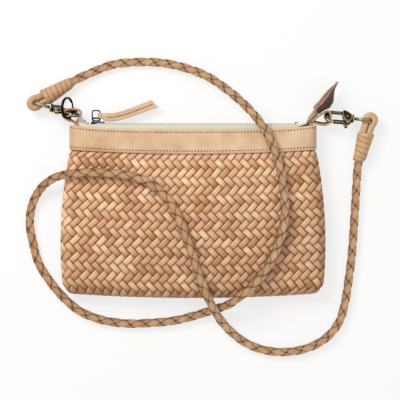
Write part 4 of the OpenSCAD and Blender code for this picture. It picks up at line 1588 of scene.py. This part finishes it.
    def build_pull_stitches(self) -> Piece:
        """The row of stitches along the leather pull.

        Returns:
            The stitches.
        """
        pitch, first, count = 2.9, 8.0, 16
        x0, y0, z0 = self.pull_anchor
        points, turns = [], []
        for i in range(count):
            d = first + i * pitch
            mid, after = (self.pull_at(self.pull_worn, x)[1] for x in (d, d + 1.0))
            points.append(np.array([x0 + d, y0 + mid, z0 + self.pull_half_t]) * MM)
            turns.append(math.atan(after - mid))
        stitch = cushion("stitch", length=2.3 * MM, width=0.95 * MM, crown=0.3 * MM,
                         foot=-0.4 * MM, tip_drop=0.3 * MM, cells=(6, 4))
        return self.layer.lay("pull_stitches", stitch, points, turns, [MID_TONE] * count,
                              self.finishes.thread)

    @staticmethod
    def pull_at(table: Sequence[tuple[float, float, float]], d: float) -> tuple[float, float]:
        """Half width and middle of the pull at a distance from the ring."""
        stops, halves, mids = zip(*table)
        return float(np.interp(d, stops, halves)), float(np.interp(d, stops, mids))

    def build_pull(self) -> Piece:
        """The folded leather pull, bent by use: level at the ring and climbing towards its end.

        Returns:
            The pull.
        """
        made = softened("zip_pull", "zip_pull_leather", 0.35, 3, self.finishes.band)
        x0, y0, _ = self.pull_anchor
        slant_from, slant_over, rim_from, rim_over = 40, 20, 0.8, 0.2
        rims = []
        for vertex in made.data.vertices:
            d, y = vertex.co.x / MM - x0, vertex.co.y / MM - y0
            half, mid = self.pull_at(self.pull_made, d)
            across = (y - mid) / half
            worn = d
            if d > self.pull_nose:
                worn = self.pull_nose + (d - self.pull_nose) * self.pull_shrink
            worn -= self.pull_slant * (1 + across) / 2 * ease((worn - slant_from) / slant_over)
            half, mid = self.pull_at(self.pull_worn, worn)
            vertex.co.x = (x0 + worn) * MM
            vertex.co.y = (y0 + mid + across * half) * MM
            rims.append(ease((abs(across) - rim_from) / rim_over))
        put_attribute(made, "rim", rims)
        return made

    @staticmethod
    def leaning(way: float, lean: float) -> tuple[Point, Point]:
        """Level direction across a way, and the width of what leans over along it, by degrees."""
        turn, tip = math.radians(way), math.radians(lean)
        return (np.array([-math.sin(turn), math.cos(turn), 0.0]),
                np.array([-math.sin(turn) * math.sin(tip), math.cos(turn) * math.sin(tip),
                          math.cos(tip)]))

    def build_tail(self) -> Piece:
        """Both tapes together past the stop, turning up out of the mouth and leaning over.

        Returns:
            The tail.
        """
        x1, y1 = self.end_tab_at
        turn = math.radians(self.end_tab_dir)
        last = (x1 + self.tail_in * math.cos(turn), y1 + self.tail_in * math.sin(turn))
        # place, direction, lean and thickness of both tapes together
        stops = np.array([[self.tape_right + self.gap, self.line_y - 1.0, 0, 0, 2.7],
                          [113.0, self.line_y + self.tape_t - 0.6, self.end_tab_dir / 3, 12, 1.9],
                          [118.25, self.line_y + 5.8, self.end_tab_dir, 36, 0.9],
                          [x1, y1, self.end_tab_dir, 30, self.tape_t],
                          [*last, self.end_tab_dir, self.end_tab_lean, self.tape_t]])
        section = ((1, -0.6), (1, 0.6), (0.97, 1), (0, 1), (-0.97, 1), (-1, 0.6), (-1, -0.6),
                   (-0.97, -1), (0, -1), (0.97, -1))
        rings, steps = [], 8
        for i in range((len(stops) - 1) * steps + 1):
            x, y, way, lean, thick = (np.interp(i / steps, range(len(stops)), column)
                                      for column in stops.T)
            level, wide = self.leaning(way, lean)
            mid = np.array([x, y, self.pouch.seam_z])
            rings.append([(mid + self.tail_w / 2 * wide * a + level * thick / 2 * b) * MM
                          for a, b in section])
        made = mesh_object("zip_tail_cotton", *tube(rings), self.finishes.tape)
        turn_out(made)
        return made

    def build_end_tab(self) -> Piece:
        """The folded leaf on the zip's end, straight along its fold, with paler raw edges.

        Returns:
            The tab.
        """
        # its face is painted dark as shade, its raw edges pale
        made = softened("zip_end_tab", "zip_end_tab_leather", 0.4, 4, self.finishes.flesh, 0.42)
        turn = math.radians(self.end_tab_dir)
        along = np.array([math.cos(turn), math.sin(turn), 0.0])
        level, wide = self.leaning(self.end_tab_dir, self.end_tab_lean)
        face = np.cross(along, wide)
        base = np.array([*self.end_tab_at, self.pouch.seam_z]) * MM
        straight, narrow, shrink, thinner = 0.9, 0.8, 0.03, 0.6
        rims = [1 - ease((abs(float(np.dot(face, v.normal))) - 0.3) / 0.3)
                for v in made.data.vertices]
        for vertex in made.data.vertices:
            spot = (np.array(vertex.co) - base) / MM
            share, b = float(np.dot(spot, along)) / self.end_tab_l, float(np.dot(spot, wide))
            half = np.interp(share, *self.end_tab_outline)
            # the fold is straight, the tip narrow and thin, and the leaf curls across its width
            worn = b + straight * (1 - half) * self.end_tab_w / 2 * ease(share / 0.3)
            worn = (self.end_tab_tip
                    + (worn - self.end_tab_tip) * (1 - narrow * ease((share - 0.5) / 0.5)))
            back = shrink * self.end_tab_l * ease(share)
            curl = self.end_tab_curl * worn * worn * ease(share / 0.25)
            thin = thinner * float(np.dot(spot, face)) * ease((share - 0.45) / 0.55)
            vertex.co += Vector(
                (wide * (worn - b) - along * back - level * curl - face * thin) * MM)
        put_attribute(made, "rim", rims)
        return made

    def build(self) -> None:
        """Build and place the zip."""
        for side in Face:
            settle(self.build_tape(side), Body.BAG, "cotton_tape", f"zip_tape_{side.word}")
            settle(self.build_teeth(side), Body.BAG, "gunmetal",
                   f"zip_teeth_{side.word}")
        settle(self.build_tail(), Body.BAG, "cotton_tape", "zip_tail")
        settle(self.build_end_tab(), Body.BAG, "veg_tan_leather", "zip_end_tab")
        slider = softened("zip_slider", "zip_slider_metal", 0.22, 3, self.finishes.gunmetal)
        settle(slider, Body.SLIDER, "gunmetal", "zip_slider")
        settle(self.build_pull(), Body.PULL, "veg_tan_leather", "zip_pull")
        settle(self.build_pull_stitches(), Body.PULL, "veg_tan_leather")
        for node in ("zip_stops", "pull_ring"):
            dress(node, self.finishes.gunmetal)


def dress(node: str, finish: Finish) -> None:
    """Give a node of the frame its finish."""
    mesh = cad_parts[node].data
    mesh.materials.clear()
    mesh.materials.append(finish)


# The hardware


@dataclass
class Hardware:
    """Leather tabs, brass clasps and the black split ring. Sizes in millimetres."""

    finishes: Finishes
    key_ring_d: float = 22.2
    key_wire: float = 1.7
    key_ring_at: tuple[float, float, float] = (-125.4, 33.9, 16.6)
    key_ring_turn: float = 62.0
    tab_t: float = 2.3
    tab_w: float = 4.8
    tab_lean: float = 1.8
    tab_z: float = 11.4
    stem: tuple[float, float] = (4.0, -15.5)
    # corners of each loop's middle line from the foot of its stem
    tab_feet: dict = field(default_factory=lambda: {
        Hand.LEFT: (-117.0, 19.6), Hand.RIGHT: (118.5, 20.0)})
    tab_loops: dict = field(default_factory=lambda: {
        Hand.LEFT: ((0, 0), (-13.95, 3.45), (-13.2, 13.05), (3.45, 13.8), (5.4, 7.35)),
        Hand.RIGHT: ((0, 0), (7.5, 6.75), (19.05, 12.9), (19.95, -0.3), (12, -4.2))})

    def build_tab(self, hand: Hand) -> Piece:
        """A strip of leather folded into a round loop, its ends sewn together in a stem.

        Args:
            hand: end of the mouth.

        Returns:
            The tab, with painted shade on the inside of its loop.
        """
        foot = np.array(self.tab_feet[hand])
        corners = [foot + np.array(p, float) for p in self.tab_loops[hand]]
        middles = [(a + b) / 2 for a, b in zip(corners[1:], corners[2:])]
        knots = [corners[0], *middles, corners[0]]
        line, cuts = [], 12
        for start, corner, stop in zip(knots, corners[1:], knots[1:]):
            for t in np.linspace(0, 1, cuts, endpoint=False):
                line.append((1 - t) ** 2 * start + 2 * t * (1 - t) * corner + t * t * stop)
        line.append(corners[0])
        middle = sum(corners) / len(corners)
        section = ((1, 0.6), (0.9, 1), (-0.9, 1), (-1, 0.6), (-1, -0.6), (-0.9, -1), (0.9, -1),
                   (1, -0.6))
        inward = 1 if hand is Hand.LEFT else -1
        shapes = [(line, self.tab_t),
                  ([foot, foot + (inward * self.stem[0], self.stem[1])], 2 * self.tab_t)]
        points, faces, rims = [], [], []
        for k, (path, thick) in enumerate(shapes):
            rings = []
            for i, p in enumerate(path):
                t = heading(path, i)
                across = unit(np.array([-t[1], t[0]]))
                if np.dot(across, middle - p) < 0:
                    across = -across
                share = i / (len(path) - 1)
                # the loop leans over, but not where it leaves the stem and comes back to it
                gone = share if hand is Hand.LEFT else 1 - share
                away = ease((0.7 - gone) / 0.15) if k == 0 else 0.0
                lean = self.tab_lean * away * ease(share / 0.1)
                rings.append([(*(p + across * (b * thick / 2 + lean * (1 - a) / 2)) * MM,
                               (self.tab_z + a * self.tab_w / 2) * MM) for a, b in section])
                # painted shade in the rim colour on the loop's inside
                rims += [1.0 if k == 0 and b > 0.5 and a < 0.95 else 0.0 for a, b in section]
            more, joined = tube(rings, len(points))
            points += more
            faces += joined
        made = mesh_object(f"{hand.value}_tab_leather", points, faces, self.finishes.edge)
        put_attribute(made, "rim", rims)
        turn_out(made)
        return made

    def build_key_ring(self) -> Piece:
        """A split ring: two close turns of flattened wire with cut ends.

        Returns:
            The ring.
        """
        radius = (self.key_ring_d - self.key_wire) / 2
        turn = math.radians(self.key_ring_turn)
        ways = np.array([[math.cos(turn), 0, -math.sin(turn)], [0, 1, 0],
                         [math.sin(turn), 0, math.cos(turn)]])
        at = np.array(self.key_ring_at)
        steps, turns, cut_at, sides = 150, 1.92, 0.6, 12
        lift_share, steepness, half_w, half_h = 0.42, 14, 0.95, 0.75
        rings = []
        for i in range(steps + 1):
            a = 2 * math.pi * turns * i / steps + cut_at
            lift = self.key_wire * lift_share * math.tanh((i / steps - 0.5) * steepness)
            ring = []
            for j in range(sides):
                b = 2 * math.pi * j / sides
                r = radius + half_w * math.cos(b)
                h = lift + half_h * math.sin(b)
                ring.append((at + r * math.cos(a) * ways[0] + r * math.sin(a) * ways[1]
                             + h * ways[2]) * MM)
            rings.append(ring)
        made = mesh_object("split_key_ring", *tube(rings), self.finishes.black)
        turn_out(made)
        return made

    def build(self) -> None:
        """Build and place the hardware."""
        bodies = {Hand.LEFT: (Body.LEFT_HOOK, Body.LEFT_GATE),
                  Hand.RIGHT: (Body.RIGHT_HOOK, Body.RIGHT_GATE)}
        for hand, (hook, gate) in bodies.items():
            word = hand.value
            for part, body, voxel_mm, passes in (("hook", hook, 0.32, 4), ("gate", gate, 0.28, 4),
                                                 ("eye", Body.BAG, 0.3, 3)):
                node = f"{word}_{part}"
                settle(softened(node, f"{node}_brass", voxel_mm, passes, self.finishes.brass), body,
                       "antique_brass", node)
            settle(self.build_tab(hand), Body.BAG, "veg_tan_leather", f"{word}_tab")
            dress(f"{word}_gate_pin", self.finishes.brass)
        settle(self.build_key_ring(), Body.KEY_RING, "black_steel", "key_ring")


# The studio


def backdrop_rays(tree: Tree) -> Socket:
    """Tell the rays that show a backdrop from those that light the object.

    Args:
        tree: tree of the floor's material or of the world.

    Returns:
        A socket that is 1 for camera, glossy and transmission rays, and 0 for others.
    """
    rays = add(tree, "ShaderNodeLightPath").outputs
    seen = rays["Is Camera Ray"]
    for name in ("Is Glossy Ray", "Is Transmission Ray"):
        seen = add(tree, "ShaderNodeMath", {0: seen, 1: rays[name]}, operation="MAXIMUM").outputs[0]
    return seen


@dataclass
class Studio:
    """Camera straight above the bag, a pale floor and soft light from the upper left."""

    view_m: float = 0.4
    centre_m: tuple[float, float] = (0.007, -0.058)
    sharp_z_m: float = 0.016
    distance_m: float = 2.5
    sensor_mm: float = 36.0
    floor_glow: float = 0.7
    sky_level: float = 0.5
    # name, place and size in metres, and power in watts of each lamp
    lamps: tuple = (("key", (-0.75, 0.75, 1.15), 0.7, 17.0), ("fill", (0.9, -0.5, 1.4), 1.2, 3.0))

    def build_camera(self) -> None:
        """Set the camera so that one pixel of the frame is one millimetre."""
        lens = bpy.data.cameras.new("camera")
        lens.sensor_width = self.sensor_mm
        lens.lens = self.sensor_mm * self.distance_m / self.view_m
        made = bpy.data.objects.new("camera", lens)
        made.location = (*self.centre_m, self.sharp_z_m + self.distance_m)
        bpy.context.scene.collection.objects.link(made)
        bpy.context.scene.camera = made

    def build_floor(self) -> None:
        """A pale floor that shows white and keeps a soft shadow."""
        half, z = 3.0, -0.0004
        corners = [(-half, -half, z), (half, -half, z), (half, half, z), (-half, half, z)]
        floor = mesh_object("floor", corners, [(0, 1, 2, 3)])
        made = bpy.data.materials.new("pale_paper_floor")
        made.use_nodes = True
        tree = made.node_tree
        tree.nodes.clear()
        share = add(tree, "ShaderNodeMath", {0: backdrop_rays(tree), 1: self.floor_glow},
                    operation="MULTIPLY")
        paper = add(tree, "ShaderNodeBsdfDiffuse", {"Color": linear("#F4F3F1")})
        white = add(tree, "ShaderNodeEmission", {"Color": linear("#FFFFFF"), "Strength": 1.02})
        mix = add(tree, "ShaderNodeMixShader", {0: share.outputs[0], 1: paper.outputs[0],
                                                2: white.outputs[0]})
        add(tree, "ShaderNodeOutputMaterial", {"Surface": mix.outputs[0]})
        floor.data.materials.append(made)

    def build_light(self) -> None:
        """One large soft lamp at the upper left, a weak fill and an even sky."""
        scene = bpy.context.scene
        scene.view_settings.view_transform = "Standard"
        world = bpy.data.worlds.new("studio")
        scene.world = world
        world.use_nodes = True
        tree = world.node_tree
        tree.nodes.clear()
        level = add(tree, "ShaderNodeMapRange", {"Value": backdrop_rays(tree),
                                                 "To Min": self.sky_level, "To Max": 1.0})
        sky = add(tree, "ShaderNodeBackground", {"Color": linear("#FFFFFF"),
                                                 "Strength": level.outputs[0]})
        add(tree, "ShaderNodeOutputWorld", {"Surface": sky.outputs[0]})
        for name, place, size, power in self.lamps:
            lamp = bpy.data.lights.new(name, "AREA")
            lamp.size = size
            lamp.energy = power
            made = bpy.data.objects.new(name, lamp)
            made.location = place
            aim = np.array([*self.centre_m, 0.0]) - np.array(place)
            made.rotation_mode = "QUATERNION"
            made.rotation_quaternion = Vector(aim).to_track_quat("-Z", "Y")
            scene.collection.objects.link(made)

    def build(self) -> None:
        """Build the studio."""
        self.build_camera()
        self.build_floor()
        self.build_light()


def main() -> None:
    """Build the clutch: camera and strap first, then the pouch, the zip and the hardware."""
    logging.basicConfig(level=logging.INFO, format="%(name)s: %(message)s")
    Studio().build()
    finishes, layer = Finishes(), Layer()
    Strap(finishes, layer).build()
    pouch = Pouch(finishes, layer)
    pouch.build()
    Zip(finishes, layer, pouch).build()
    Hardware(finishes).build()


if __name__ == "__main__":
    main()
